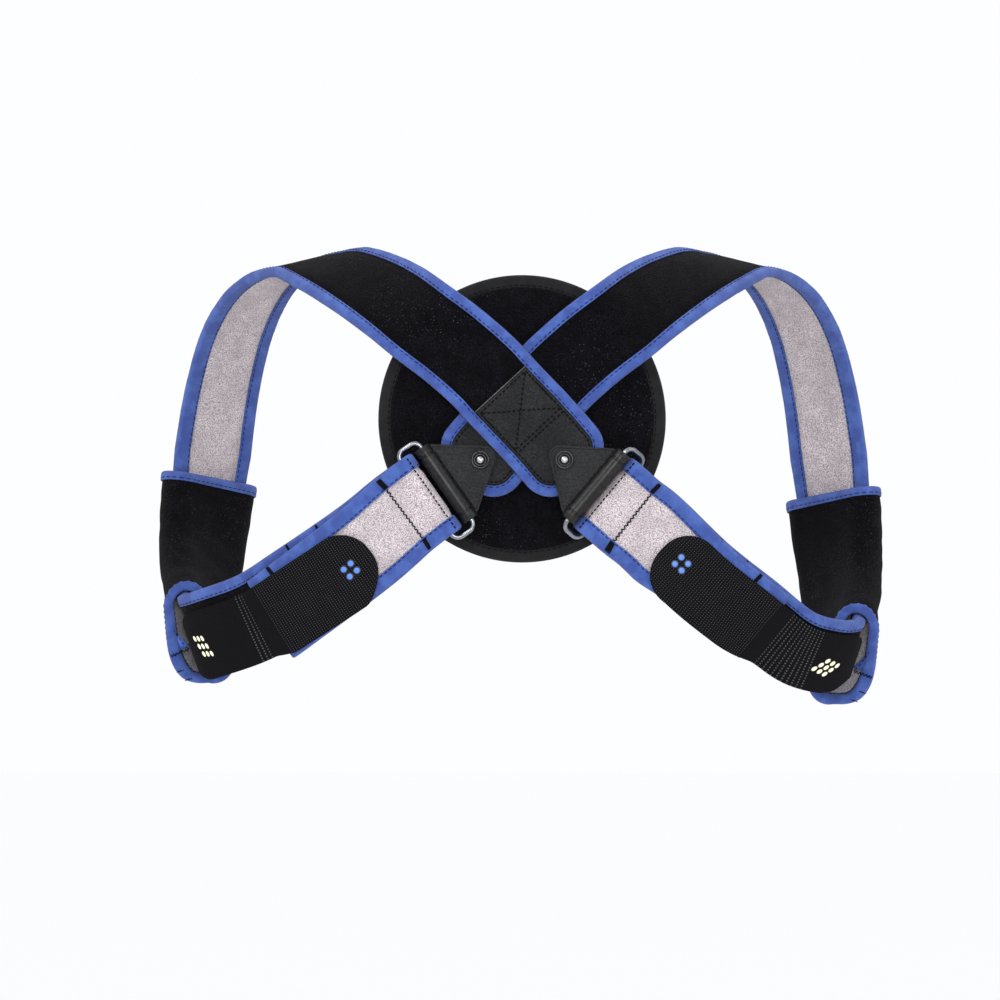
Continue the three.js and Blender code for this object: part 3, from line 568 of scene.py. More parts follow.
def eased(share):
    share = min(1.0, max(0.0, share))
    return share * share * (3 - 2 * share)


def drawn_in(side, from_ring):
    return sum(depth * eased((from_ring - start) / length) for start, length, depth in DRAWN_IN[side])


def lower_side(station):
    return -1 if station["across"].z > 0 else 1


def narrowed(station, x):
    """A place across the strap, moved up where the strap's lower edge is drawn in."""
    return x * (1 - station["drawn"] / (STRAP_WIDTH / 2)) if x * lower_side(station) > 0 else x


def fold_lift(from_ring):
    return LAYER + (2 * FOLD_RADIUS - LAYER) * (1 - eased(from_ring / 30.0))


def over_body(side, body, from_ring, lift, shift):
    station = station_at(body, body[-1]["at"] - from_ring)
    station["point"] = station["point"] + station["out"] * lift + station["across"] * (MIRROR[side] * shift)
    return station


def lay_strap(side):
    """Stations of one strap: its body up to the ring, the turn round the wire and the part folded back."""
    clip = clip_place(side)
    rows = PAD_ROWS + LOOP_ROWS + LOWER_ROWS[side]
    points = [pad_point(side, row) for row in PAD_ROWS]
    points += [loop_point(side, row) for row in LOOP_ROWS + LOWER_ROWS[side]]
    facings = [row[3] and Vector((MIRROR[side] * row[3][0], *row[3][1:])).normalized() for row in rows]
    at_bar = clip["bar"] + Vector((0, FOLD_RADIUS, 0))
    points += [at_bar - clip["inward"] * STRAIGHT_END, at_bar]
    facings += [Vector((0, -1, 0)), Vector((0, -1, 0))]
    spots = curve_through(points, STATION_SPACING)
    stations = measured([{"point": point, "along": along, "row": row} for point, along, row in spots])
    carried, keys = [squared(*spots[0][:2], facings[0])["out"]], []
    for before, after in zip(stations, stations[1:]):
        carried.append(before["along"].rotation_difference(after["along"]) @ carried[-1])
    for station, out in zip(stations, carried):
        near = round(station["row"])
        if abs(station["row"] - near) < 1e-6 and facings[near]:
            wanted = squared(station["point"], station["along"], facings[near])["out"]
            angle = math.atan2(out.cross(wanted).dot(station["along"]), out.dot(wanted))
            last = keys[-1][1] if keys else 0.0
            keys.append((station["at"], last + math.atan2(math.sin(angle - last), math.cos(angle - last))))
    body = []
    for station, out in zip(stations, carried):
        after = next(k for k in range(1, len(keys)) if keys[k][0] >= station["at"] - 1e-9)
        (low, first), (high, second) = keys[after - 1], keys[after]
        angle = first + (second - first) * (station["at"] - low) / (high - low)
        turned_out = Quaternion(station["along"], angle) @ out
        body.append(squared(station["point"], station["along"], turned_out))
    body[-1] = squared(at_bar, clip["inward"].copy(), Vector((0, -1, 0)))
    measured(body)
    end = body[-1]
    run = [{**station, "drawn": drawn_in(side, end["at"] - station["at"])} for station in body]
    for k in range(1, TURN_STEPS):
        angle = math.pi * k / TURN_STEPS
        along = end["along"] * math.cos(angle) + end["out"] * math.sin(angle)
        out = end["out"] * math.cos(angle) - end["along"] * math.sin(angle)
        run.append({"point": clip["bar"] - out * FOLD_RADIUS, "along": along, "out": out,
                    "across": end["across"], "drawn": 0.0})
    for k in range(FOLD_STEPS + 1):
        mark = FOLD_BACK * k / FOLD_STEPS
        station = over_body(side, body, mark, fold_lift(mark), FOLD_SHIFT[side] * mark / FOLD_BACK)
        run.append({"point": station["point"], "along": -station["along"], "out": -station["out"],
                    "across": station["across"], "drawn": drawn_in(side, mark)})
    return {"clip": clip, "body": body, "run": measured(run)}


straps = {side: lay_strap(side) for side in ("left", "right")}
lining = pile_material("grey_brushed_lining", dark=(0.6, 0.53, 0.56, 1), light=(0.78, 0.7, 0.74, 1),
                       painted_glint_colour=(0.86, 0.82, 0.85, 1), tufts_per_metre=1500.0, depth=0.0005,
                       sheen=0.12, gloss=0.06)


def rounded_half(half, radius, from_end):
    short = max(0.0, radius - max(0.0, from_end))
    return half - radius + math.sqrt(radius ** 2 - short ** 2)


def round_tip(run, begin, reach, count):
    """Stations along a round tip, closest together where it is most curved."""
    return [station_at(run, begin + reach * (1 - math.cos(math.pi / 2 * k / count))) for k in range(count)]


CORE_INSET = 1.2
CORE_HALF = STRAP_WIDTH / 2 - CORE_INSET
CROSSWISE = [CORE_HALF * (1 - 2 * k / 34) for k in range(35)]
# Where the padding begins to swell beside the binding, from the strap's middle, outside and inside
OUTER_SEAM = 19.2
LINING_SEAM = 16.7


def crown(x, seam):
    rise = eased((seam - abs(x)) / 4.2)
    return STRAP_EDGE / 2 + (STRAP_THICKNESS - STRAP_EDGE) / 2 * rise


def core_section(station):
    width = rounded_half(CORE_HALF, TIP_RADIUS - CORE_INSET, station["at"] - CORE_INSET) / CORE_HALF
    full = eased((station["at"] - 8.0) / 5.0)
    ring = []
    for level, seam, order in ((1, OUTER_SEAM, CROSSWISE), (-1, LINING_SEAM, CROSSWISE[::-1])):
        for x in order:
            rise = STRAP_EDGE / 2 + (crown(x, seam) - STRAP_EDGE / 2) * full
            spot = station["point"] + station["across"] * x
            soft = noise.noise(spot * 0.045) * 0.28 + noise.noise(spot * 0.16) * 0.1
            soft = min(0.22, soft) if abs(x) < seam - 2 else 0.0
            beside = station["point"] + station["across"] * narrowed(station, x * width)
            ring.append(beside + station["out"] * (level * (rise + soft * full)))
    return ring


for side in ("left", "right"):
    run = straps[side]["run"]
    stations = round_tip(run, 1.25, 17.0, 9) + stretch(run, 19.0, run[-1]["at"], STATION_SPACING)
    strap_core = swept(f"{side}_padded_strap", stations, core_section, [velour, lining],
                       slot_of=lambda k: 0 if k < len(CROSSWISE) else 1)
    finish_piece(strap_core, f"{side}_strap", slot="velour")

# Binding of the straps
# Blue knitted tape folded over both edges of each strap and round its tip, sewn through with dark thread.
# It begins and ends at the strap's folded end, where a few millimetres of it run on past the padding.

TAPE_OUTER_LAP = 6.5
TAPE_RUN_ON = 3.0
# The folded tape in section: across from the strap's edge, and out from the strap's middle
TAPE = [(-1.3, 1.95), (-0.95, 1.3), (-0.95, -1.3), (-1.3, -1.95), (-9.0, -2.0), (-9.0, -2.5), (-8.7, -2.76),
        (-8.0, -2.66), (-7.2, -2.82), (-5.6, -2.92), (-3.6, -2.92), (-1.8, -2.85), (-0.8, -2.5),
        (-0.2, -1.6), (0.0, -0.5), (0.0, 0.5), (-0.2, 1.6), (-0.8, 2.5), (-1.8, 2.85), (-3.0, 2.92),
        (-4.3, 2.86), (-5.3, 2.68), (-6.1, 2.78), (-6.5, 2.5), (-6.5, 2.0)]
TAPE_INSIDE = 2.05
TAPE_OUTSIDE = 3.02


def edge_path(run, inset, end, spacing):
    """Stations along one edge of the strap, round its tip and along the other edge, facing outwards."""
    def at_edge(station, sign):
        outward = station["across"] * sign
        drawn = station["drawn"] if sign == lower_side(station) else 0.0
        point = station["point"] + outward * (STRAP_WIDTH / 2 - inset - drawn)
        return {"point": point, "across": outward, "out": station["out"], "along": station["along"] * sign}

    sides = stretch(run, TIP_RADIUS, end, spacing)
    first, path = sides[0], [at_edge(station, -1) for station in sides[::-1]]
    corner = TIP_RADIUS - inset
    steps = max(3, round(math.pi / 2 * corner / spacing))
    for sign, order in ((-1, range(1, steps + 1)), (1, range(steps, 0, -1))):
        centre = first["point"] + first["across"] * (sign * (STRAP_WIDTH / 2 - TIP_RADIUS))
        for k in order:
            angle = math.pi / 2 * k / steps
            outward = first["across"] * (sign * math.cos(angle)) - first["along"] * math.sin(angle)
            path.append({"point": centre + outward * corner, "across": outward, "out": first["out"],
                         "along": outward.cross(first["out"])})
    path += [at_edge(station, 1) for station in sides]
    return measured(path)


def tape_section(station):
    pull = 0.13 * math.cos(2 * math.pi * station["at"] / STITCH_PITCH)
    soft = 0.16 * noise.noise(station["point"] * 0.11) + 0.07 * noise.noise(station["point"] * 0.5)
    ring = []
    for x, y in TAPE:
        level = y
        if abs(y) > TAPE_INSIDE:
            swell = pull * (1.0 if x < -4 else 0.4) + soft
            level = math.copysign(min(abs(y) + swell, TAPE_OUTSIDE), y)
        spot = station["point"] + station["across"] * min(0.0, x + 0.5 * soft)
        ring.append(spot + station["out"] * level)
    return ring


def sewn_line(run, inset, level, end):
    """Stitches along both edges and round the tip, at an inset from the edge and a level from the middle."""
    path = edge_path(run, inset, end, 1.2)
    runs, at, stop = [], 0.8, path[-1]["at"] - 1.0
    while at + STITCH_PITCH < stop:
        first, second = station_at(path, at), station_at(path, at + STITCH_PITCH * 0.72)
        ends = [place["point"] + place["out"] * level for place in (first, second)]
        runs.append((ends[0], ends[1], first["out"] * math.copysign(1.0, level)))
        at += STITCH_PITCH
    return runs


for side in ("left", "right"):
    run = straps[side]["run"]
    last = run[-1]["at"]
    past = run[-1]["point"] + run[-1]["along"] * TAPE_RUN_ON
    run.append({**run[-1], "point": past, "at": last + TAPE_RUN_ON})
    path = edge_path(run, 0.0, last + 2.0, 1.15)
    binding = swept(f"{side}_strap_tape", path, tape_section, [blue_tape])
    finish_piece(binding, f"{side}_strap_binding", slot="blue_tape")
    seams = sewn_line(run, 5.3, 2.78, last) + sewn_line(run, 7.9, -2.76, last)
    stitching = stitches(f"{side}_strap_tape_stitching", seams, navy_thread, thick=0.24)
    finish_piece(stitching, slot="blue_tape")

# Facing of the strap ends
# Smooth black leatherette sewn over the velour where the straps cross and where the clips are riveted on.
# A box of stitches with a cross in it holds the two straps and the pad together.

FACING_LENGTH = 70.0
FACING_HALF = STRAP_WIDTH / 2 - TAPE_OUTER_LAP - GAP
grain_tree, taken, given = open_group(
    "fine_grain",
    [("Vector", "NodeSocketVector"), ("Pebbles per Metre", "NodeSocketFloat")],
    [("Height", "NodeSocketFloat"), ("Shine", "NodeSocketFloat")],
)
pebbles = add_node(grain_tree, "ShaderNodeTexVoronoi", {"Vector": taken[0], "Scale": taken[1]},
                   feature="SMOOTH_F1")
raised = maths(grain_tree, "SUBTRACT", 1.0, pebbles.outputs["Distance"])
pores = clouds(grain_tree, taken[0], scale=1900.0, detail=4.0)
grain_tree.links.new(maths(grain_tree, "MULTIPLY_ADD", pores, 0.5, raised), given["Height"])
handled = clouds(grain_tree, taken[0], scale=60.0, detail=5.0)
grain_tree.links.new(stepped(grain_tree, handled, 0.3, 0.7), given["Shine"])


def ranged(tree, value, low, high):
    return add_node(tree, "ShaderNodeMapRange", {"Value": value, "To Min": low, "To Max": high}).outputs[0]


def grain_material(name, dark, light, rough, smooth, pebbles_per_metre, depth, specular=0.5):
    made, tree, shader = new_material(name, rough, Specular_IOR_Level=specular)
    values = {0: place_on(tree), 1: pebbles_per_metre}
    grain = add_node(tree, "ShaderNodeGroup", values, node_tree=grain_tree)
    worn = blended(tree, grain.outputs["Shine"], dark, light)
    # Painted shade: the hollows between the pebbles are darkened to a third of the dark colour
    painted_hollow_shade = stepped(tree, grain.outputs["Height"], 0.55, 1.15)
    tree.links.new(blended(tree, painted_hollow_shade, shade_of(dark, 0.3), worn), shader.inputs["Base Color"])
    tree.links.new(ranged(tree, grain.outputs["Shine"], rough, smooth), shader.inputs["Roughness"])
    raise_relief(tree, shader, grain.outputs["Height"], depth)
    return made


leatherette = grain_material("black_leatherette", dark=(0.011, 0.0115, 0.013, 1),
                             light=(0.018, 0.0188, 0.021, 1), rough=0.62, smooth=0.5,
                             pebbles_per_metre=1300.0, depth=0.00032, specular=0.12)
# The leatherette's cut edge is painted light grey, a painted highlight along the facing's end
cut_edge_painted_highlight = grain_material("leatherette_cut_edge", dark=(0.09, 0.09, 0.1, 1), light=(0.15, 0.15, 0.16, 1),
                          rough=0.8, smooth=0.7, pebbles_per_metre=2200.0, depth=0.0001)
FACING_FLOOR = STRAP_THICKNESS / 2 + GAP
FACING_ROLL = 0.9
FACING_SPREAD = [1.0, 0.985, 0.96, 0.9] + [0.9 - 0.1 * k for k in range(1, 18)] + [-0.9, -0.96, -0.985, -1.0]


def facing_section(station):
    half = rounded_half(FACING_HALF, TIP_RADIUS - TAPE_OUTER_LAP - GAP, station["at"] - TAPE_OUTER_LAP - GAP)
    ring = []
    for share in FACING_SPREAD:
        spot = station["point"] + station["across"] * (half * share)
        droop = 0.35 * max(0.0, (abs(share) - FACING_ROLL) / (1 - FACING_ROLL)) ** 2
        soft = 0.1 * noise.noise(spot * 0.12)
        ring.append(spot + station["out"] * (FACING_TOP - droop + soft))
    for share in (-1.0, 1.0):
        ring.append(station["point"] + station["across"] * (half * share) + station["out"] * FACING_FLOOR)
    return ring


def on_strap(run, at, across, level):
    """A place on the strap, and the way the strap faces there."""
    station = station_at(run, at)
    return station["point"] + station["across"] * across + station["out"] * level, station["out"]


def threaded(first, second):
    """One stitch between two places that were each given with the way they face."""
    return first[0], second[0], first[1]


BOX_PITCH = 2.9
BOX_SHARE = 0.62


def thread_line(run, first, last, level):
    """Stitches on the strap's outer side between two (at, across) places."""
    count = max(1, round(math.hypot(last[0] - first[0], last[1] - first[1]) / BOX_PITCH))
    made = []
    for k in range(count):
        ends = []
        for part in (k / count, (k + BOX_SHARE) / count):
            at, across = (start + (end - start) * part for start, end in zip(first, last))
            ends.append(on_strap(run, at, across, level))
        made.append(threaded(*ends))
    return made


BOX = {"near": 38.5, "far": 67.5, "half": 17.6, "second_row": 2.2}
RIM_PITCH = 2.6
RIM_STITCH = 1.8
for side in ("left", "right"):
    run = straps[side]["run"]
    stations = round_tip(run, 6.85, 11.0, 8) + stretch(run, 18.6, FACING_LENGTH - 0.4, 2.0)
    facing = swept(f"{side}_leatherette_facing", stations, facing_section, [leatherette])
    finish_piece(facing, f"{side}_strap_end_facing", slot="leatherette")

    def edge_section(station):
        return [station["point"] + station["across"] * (FACING_HALF * sign)
                + station["out"] * (FACING_TOP + level)
                for sign, level in ((1, -0.32), (1, 0.06), (-1, 0.06), (-1, -0.32))]

    # A narrow strip across the facing's end carries the cut edge's painted highlight
    ends = [station_at(run, FACING_LENGTH - 0.4 + 0.25 * k) for k in range(3)]
    edge = swept(f"{side}_leatherette_cut_edge", ends, edge_section, [cut_edge_painted_highlight])
    finish_piece(edge, slot="leatherette")
    sewn = []
    if side == "left":
        near, far, half, second = BOX["near"], BOX["far"], BOX["half"], BOX["near"] - BOX["second_row"]
        corners = [(near, -half), (near, half), (far, half), (far, -half)]
        lines = [(corners[k], corners[(k + 1) % 4]) for k in range(4)]
        lines += [(corners[0], corners[2]), (corners[1], corners[3]), ((second, -half), (second, half))]
        for first, last in lines:
            sewn += thread_line(run, first, last, FACING_TOP + 0.1)
    path = edge_path(run, TAPE_OUTER_LAP + 1.9, FACING_LENGTH - 2.0, 1.2)
    at = 0.5
    while at + RIM_PITCH < path[-1]["at"]:
        ends = [on_strap(path, place, 0.0, FACING_TOP + 0.05) for place in (at, at + RIM_STITCH)]
        sewn.append(threaded(*ends))
        at += RIM_PITCH
    sewing = stitches(f"{side}_leatherette_stitching", sewn, black_thread, thick=0.48)
    finish_piece(sewing, slot="leatherette")

# Seams and tacks of the folded ends
# Two rows of dark thread cross the grey lining beside the ring: a plain row by the turn and a zigzag
# further on. Heavier tacks lock the zigzag's ends and the fold's far corner over the blue tape,
# and two single tacks hold the tape of the strap below.

PLAIN_SEAM = 12.4
PLAIN_PITCH = 2.6
PLAIN_HALF = 16.4
TACK_LEVEL = 3.05
LOWER_TACK_LEVEL = 2.95
END_TACK = {"left": 97.0, "right": 92.0}
LOWER_TACKS = (61.5, 83.6)
# One turn of the zigzag: distance from the ring, and how far on across the strap
ZIGZAG = [(14.2, 0.0), (15.6, 1.3), (14.2, 2.5)]


def fold_place(side, mark, across, level):
    """A place on the visible lining of the folded end, by distance from the ring."""
    lift = fold_lift(mark) + level
    station = over_body(side, straps[side]["body"], mark, lift, FOLD_SHIFT[side] * mark / FOLD_BACK)
    return station["point"] + station["across"] * across, station["out"]


for side in ("left", "right"):
    run, body, upper = straps[side]["run"], straps[side]["body"], -MIRROR[side]
    sewn = []
    for k in range(19):
        x = -24.2 + PLAIN_PITCH * k
        level = -(crown(x, LINING_SEAM) + 0.38) if abs(x) < PLAIN_HALF else -3.12
        first, second = (on_strap(run, body[-1]["at"] + PLAIN_SEAM, place, level) for place in (x, x + 1.8))
        sewn.append((first[0], second[0], -first[1]))
    for k in range(13):
        x = -17.0 + 34.0 * k / 13
        zig = [fold_place(side, mark, x + ahead, STRAP_THICKNESS / 2 + 0.12) for mark, ahead in ZIGZAG]
        sewn += [threaded(zig[0], zig[1]), threaded(zig[1], zig[2])]
    for sign in (-1, 1):
        for k in range(5):
            sewn.append(threaded(fold_place(side, 13.6 + 0.5 * k, sign * 17.6, TACK_LEVEL),
                                 fold_place(side, 14.4 + 0.5 * k, sign * 24.6, TACK_LEVEL - 0.05)))
    for k in range(4):
        sewn.append(threaded(*(fold_place(side, END_TACK[side] + 0.5 * k + lean, upper * x, TACK_LEVEL)
                               for x, lean in ((18.5, 0), (25.6, 1)))))
    seam = stitches(f"{side}_fold_seams", sewn, black_thread, thick=0.42)
    finish_piece(seam, slot="blue_tape")
    tacks = []
    for mark in LOWER_TACKS:
        for k in range(3):
            at = body[-1]["at"] - mark - 0.45 * k
            tacks.append(threaded(*(on_strap(body, at, upper * x, LOWER_TACK_LEVEL) for x in (19.6, 25.4))))
    tack = stitches(f"{side}_strap_tacks", tacks, black_thread, thick=0.32)
    finish_piece(tack, slot="blue_tape")

# Closure tabs
# A tab of black woven tape with round ends, hooked over the folded end and down on to the strap below.
# It is a fine dotted rib up to the fold's cut end, coarse just past the step there and plain at its far end.
# Moulded dots are pressed into it, four round blue ones near the ring and nine long cream ones further on.

CLOSURE_WIDTH = 42.0
CLOSURE_THICKNESS = 1.6
CLOSURE_RADIUS = 19.0
CLOSURE_START = {"left": 42.0, "right": 39.0}
CLOSURE_SHIFT = {"left": 5.5, "right": 2.4}
CLOSURE_LIFT = STRAP_HALF + GAP + CLOSURE_THICKNESS / 2
STEP_START = FOLD_BACK + 2.0 + GAP
STEP_LENGTH = 14.0
COARSE_LENGTH = {"left": 9.0, "right": 33.0}
# How much broader the tabs are over the folded ends
BROADER = {"left": 3.8, "right": 1.2}
# Past the fold the right tab's lower edge follows the strap's: share of the strap's own drawing in, and slack
FOLLOWED = 0.95
SLACK = 3.0
FOLD_SLACK = 1.7
# Its lower far corner is cut off a little: by how much, and from how far before the tab's end
CORNER_CUT = 4.0
CORNER_START = 24.0
BLEND_LENGTH = 16.0
TAB_COLUMNS = 24
TAB_SLICES = 200


def mouth_mark(side):
    """Distance from the ring to the back mouth of the sleeve."""
    body = straps[side]["body"]
    mouth = loop_point(side, LOOP_ROWS[-1])
    nearest = min(body, key=lambda station: (station["point"] - mouth).length)
    return body[-1]["at"] - nearest["at"]


def closure_place(side, mark, across, level=0.0):
    down = eased((mark - STEP_START) / STEP_LENGTH)
    lift = CLOSURE_LIFT + fold_lift(mark) * (1 - down) + level
    station = over_body(side, straps[side]["body"], mark, lift, CLOSURE_SHIFT[side])
    station["point"] = station["point"] + station["across"] * across
    return station


def woven_material(name, step, coarse_length):
    """Woven tape: fine dotted ribs, a smooth pressed band on the step, coarse ribs, then a plain end, with
    painted shade in the hollows of the weave.
    """
    made, tree, shader = new_material(name, 0.85, Specular_IOR_Level=0.06)
    spread = add_node(tree, "ShaderNodeSeparateXYZ", {0: place_on(tree, "UV")})
    along, across = spread.outputs[0], spread.outputs[1]
    rib, dot, coarse_rib, coarse_dot = (
        maths(tree, "SINE", maths(tree, "MULTIPLY", axis, 2 * math.pi / pitch))
        for axis, pitch in ((along, 0.0016), (across, 0.0013), (along, 0.0029), (across, 0.0017)))
    fine = maths(tree, "MULTIPLY_ADD", rib, dot, maths(tree, "MULTIPLY", rib, 0.45))
    coarse = maths(tree, "MULTIPLY_ADD", coarse_rib, coarse_dot, maths(tree, "MULTIPLY", coarse_rib, 0.9))
    begun, past, ended = (stepped(tree, along, mark * MM, (mark + 1.0) * MM)
                          for mark in (step - 3.0, step + 8.0, step + 8.0 + coarse_length))
    comb = maths(tree, "MULTIPLY", past, maths(tree, "SUBTRACT", 1.0, ended))
    height = add_node(tree, "ShaderNodeMix", {0: comb, 2: fine, 3: coarse}, data_type="FLOAT").outputs[0]
    band = maths(tree, "MULTIPLY", begun, maths(tree, "SUBTRACT", 1.0, past))
    pressed = maths(tree, "MAXIMUM", maths(tree, "MULTIPLY", band, 0.75), maths(tree, "MULTIPLY", ended, 0.6))
    height = maths(tree, "MULTIPLY", height, maths(tree, "SUBTRACT", 1.0, pressed))
    fuzz = clouds(tree, place_on(tree), scale=2600.0, detail=3.0)
    height = maths(tree, "MULTIPLY_ADD", fuzz, 0.5, height)
    # Painted shade: the hollows of the weave are darkened almost to black, the crests keep the tape's colour
    painted_weave_shade = stepped(tree, height, 0.6, 1.6)
    rubbed = clouds(tree, place_on(tree), scale=110.0, detail=4.0)
    light = blended(tree, rubbed, (0.035, 0.035, 0.04, 1), (0.1, 0.1, 0.115, 1))
    tree.links.new(blended(tree, painted_weave_shade, (0.004, 0.004, 0.005, 1), light), shader.inputs["Base Color"])
    raise_relief(tree, shader, height, 0.00035)
    return made


def dot_material(name, dark, light):
    made, tree, shader = new_material(name, 0.5, Specular_IOR_Level=0.45)
    cloud = clouds(tree, place_on(tree), scale=900.0, detail=3.0)
    tree.links.new(blended(tree, cloud, dark, light), shader.inputs["Base Color"])
    raise_relief(tree, shader, cloud, 0.00008)
    return made


blue_rubber = dot_material("blue_rubber", (0.045, 0.13, 0.48, 1), (0.085, 0.22, 0.62, 1))
cream_rubber = dot_material("cream_rubber", (0.8, 0.76, 0.46, 1), (0.95, 0.93, 0.68, 1))
dark_rubber = dot_material("dark_rubber", (0.004, 0.004, 0.006, 1), (0.01, 0.01, 0.014, 1))
# Middle of each group of dots, by distance from the ring and across the tab
BLUE_DOTS = {"left": (57.0, -2.0, 38), "right": (52.8, -1.0, 45)}
BLUE_SPACING = 3.75
CREAM_DOTS = {"left": (165.0, -0.5), "right": (165.0, 0.0)}
# Steps of the nine cream dots, first the way they are long and then from row to row, and their half sizes
CREAM_STEPS = {
    "left": ((1.5, 5.0), (3.0, 0.5), (1.85, 0.95)),
    "right": ((3.5, -3.0), (4.0, 1.0), (1.95, 1.15)),
}
# Rings of a dot from its foot up, as shares of its size and height
DOT_RINGS = [(1.0, -0.1), (0.96, 0.55), (0.8, 0.85), (0.5, 0.97)]


def raised_dots(name, side, places, size, height, material):
    """Low round or long buttons on the tab, each an oval dome of rings."""
    sides, points, faces = 14, [], []
    for mark, across, turn in places:
        base = len(points)
        for share, rise in DOT_RINGS:
            for k in range(sides):
                angle = 2 * math.pi * k / sides
                x, y = math.cos(angle) * size[0] * share, math.sin(angle) * size[1] * share
                along = x * math.cos(turn) - y * math.sin(turn)
                beside = x * math.sin(turn) + y * math.cos(turn)
                station = closure_place(side, mark + along, across + beside, CLOSURE_THICKNESS / 2)
                points.append(station["point"] + station["out"] * (rise * height))
        station = closure_place(side, mark, across, CLOSURE_THICKNESS / 2)
        points.append(station["point"] + station["out"] * height)
        last, top = base + (len(DOT_RINGS) - 1) * sides, base + len(DOT_RINGS) * sides
        for near in range(base, last, sides):
            for k in range(sides):
                far, after = near + sides, (k + 1) % sides
                faces.append((near + k, far + k, far + after, near + after))
        faces += [(last + k, top, last + (k + 1) % sides) for k in range(sides)]
        faces.append(tuple(base + k for k in range(sides)))
    made = mesh_piece(name, points, faces, [material])
    face_outwards(made)
    finish_piece(made, slot="webbing")


for side in ("left", "right"):
    begin, finish = CLOSURE_START[side], mouth_mark(side) - 8.0
    woven = woven_material(f"{side}_woven_tape", STEP_START, COARSE_LENGTH[side])
    half = CLOSURE_WIDTH / 2
    corner = [CLOSURE_RADIUS * (1 - math.cos(math.pi / 2 * k / 14)) for k in range(14)]
    middle = [begin + CLOSURE_RADIUS + (finish - begin - 2 * CLOSURE_RADIUS) * k / 80 for k in range(81)]
    marks = [begin + mark for mark in corner] + middle + [finish - mark for mark in corner[::-1]]
    stations = [{**closure_place(side, mark, 0.0), "at": mark} for mark in marks[::-1]]

    def tab_edges(mark):
        """Half the tab's width at a distance from the ring, and how far its lower edge is drawn in there."""
        reach = rounded_half(half, CLOSURE_RADIUS, min(mark - begin, finish - mark))
        over_fold = 1 - eased((mark - FOLD_BACK + 5.0) / BLEND_LENGTH)
        if side == "right":
            drawn = max(-BROADER[side], FOLLOWED * drawn_in(side, mark) - SLACK - FOLD_SLACK * over_fold)
            drawn += CORNER_CUT * eased((mark - finish + CORNER_START) / BLEND_LENGTH)
        else:
            drawn = -BROADER[side] * over_fold * eased((mark - begin - 4.0) / BLEND_LENGTH)
        return reach, drawn * reach / half

    def tab_section(station):
        nearest = min(station["at"] - begin, finish - station["at"])
        reach, drawn = tab_edges(station["at"])
        low = lower_side(station)
        thick = CLOSURE_THICKNESS / 2 * min(1.0, 0.45 + nearest / 1.2)
        ring = []
        for order in (1, -1):
            for column in range(TAB_COLUMNS + 1):
                share = (1 - 2 * column / TAB_COLUMNS) * order
                at_rim = abs(share) > 0.99
                bent = share * (1 - 0.012 * at_rim)
                spot = station["point"] + station["across"] * (reach * bent - drawn * bent * (low * bent > 0))
                soft = 0.2 * noise.noise(spot * 0.07) * eased((nearest - 2) / 10)
                ring.append(spot + station["out"] * (order * thick * (0.35 if at_rim else 1.0) + soft))
        return ring

    tab = swept(f"{side}_closure_tab", stations, tab_section, [woven])
    for loop in tab.data.loops:
        spot = tab.data.vertices[loop.vertex_index].co / MM
        near = min(stations, key=lambda station: (station["point"] - spot).length_squared)
        beside = (spot - near["point"]).dot(near["across"])
        tab.data.uv_layers[0].data[loop.index].uv = (near["at"] * MM, beside * MM)
    slice_length = (finish - begin) / TAB_SLICES
    slices = [tab_edges(begin + slice_length * (k + 0.5)) for k in range(TAB_SLICES)]
    finish_piece(tab, f"{side}_closure", slot="webbing")
    mark, across, turned_by = BLUE_DOTS[side]
    four = []
    for k in range(4):
        angle = math.radians(turned_by + 90 * k)
        four.append((mark + BLUE_SPACING * math.cos(angle), across + BLUE_SPACING * math.sin(angle), 0.0))
    raised_dots(f"{side}_blue_dot_rims", side, four, (2.4, 2.4), 0.25, dark_rubber)
    raised_dots(f"{side}_blue_dots", side, four, (1.75, 1.75), 0.6, blue_rubber)
    mark, across = CREAM_DOTS[side]
    step, row, half_size = CREAM_STEPS[side]
    aim = math.atan2(step[1], step[0])
    nine = [(mark + step[0] * i + row[0] * j, across + step[1] * i + row[1] * j, aim)
            for i in (-1, 0, 1) for j in (-1, 0, 1)]
    rim_size = (half_size[0] + 0.4, half_size[1] + 0.4)
    raised_dots(f"{side}_cream_dot_rims", side, nine, rim_size, 0.22, dark_rubber)
    raised_dots(f"{side}_cream_dots", side, nine, half_size, 0.6, cream_rubber)

# Underarm sleeves
# A flat padded tube that slides on each strap where it passes under the arm: velour outside, brushed lining
# inside. It is sewn up along its length and bound with the same blue tape at both mouths.

SLEEVE_LENGTH = {"left": 127.2, "right": 128.7}
SLEEVE_WALL = 3.4
SLEEVE_ROOM = 7.5
SLEEVE_LAP = 6.5
SLEEVE_MIDDLE = STRAP_WIDTH / 2 + 0.6 - math.sqrt((SLEEVE_ROOM - 1.2) ** 2 - STRAP_HALF ** 2)
MOUTH_FLARE = 11.0
FLARE_LENGTH = 24.0


def opened(station, mouth, x, y):
    """The back mouth stands open on its outer side, most of all towards its lower end."""
    near = 1 - eased((mouth - station["at"] - SLEEVE_LAP) / FLARE_LENGTH)
    lower = -x if station["across"].z > 0 else x
    share = max(0.0, min(1.0, (1 + lower / (SLEEVE_MIDDLE + SLEEVE_ROOM + SLEEVE_WALL / 2)) / 2))
    bulge = MOUTH_FLARE * near * math.sin(math.pi * share ** 1.9) ** 0.6
    return y + bulge * max(0.0, min(1.0, y / SLEEVE_ROOM))


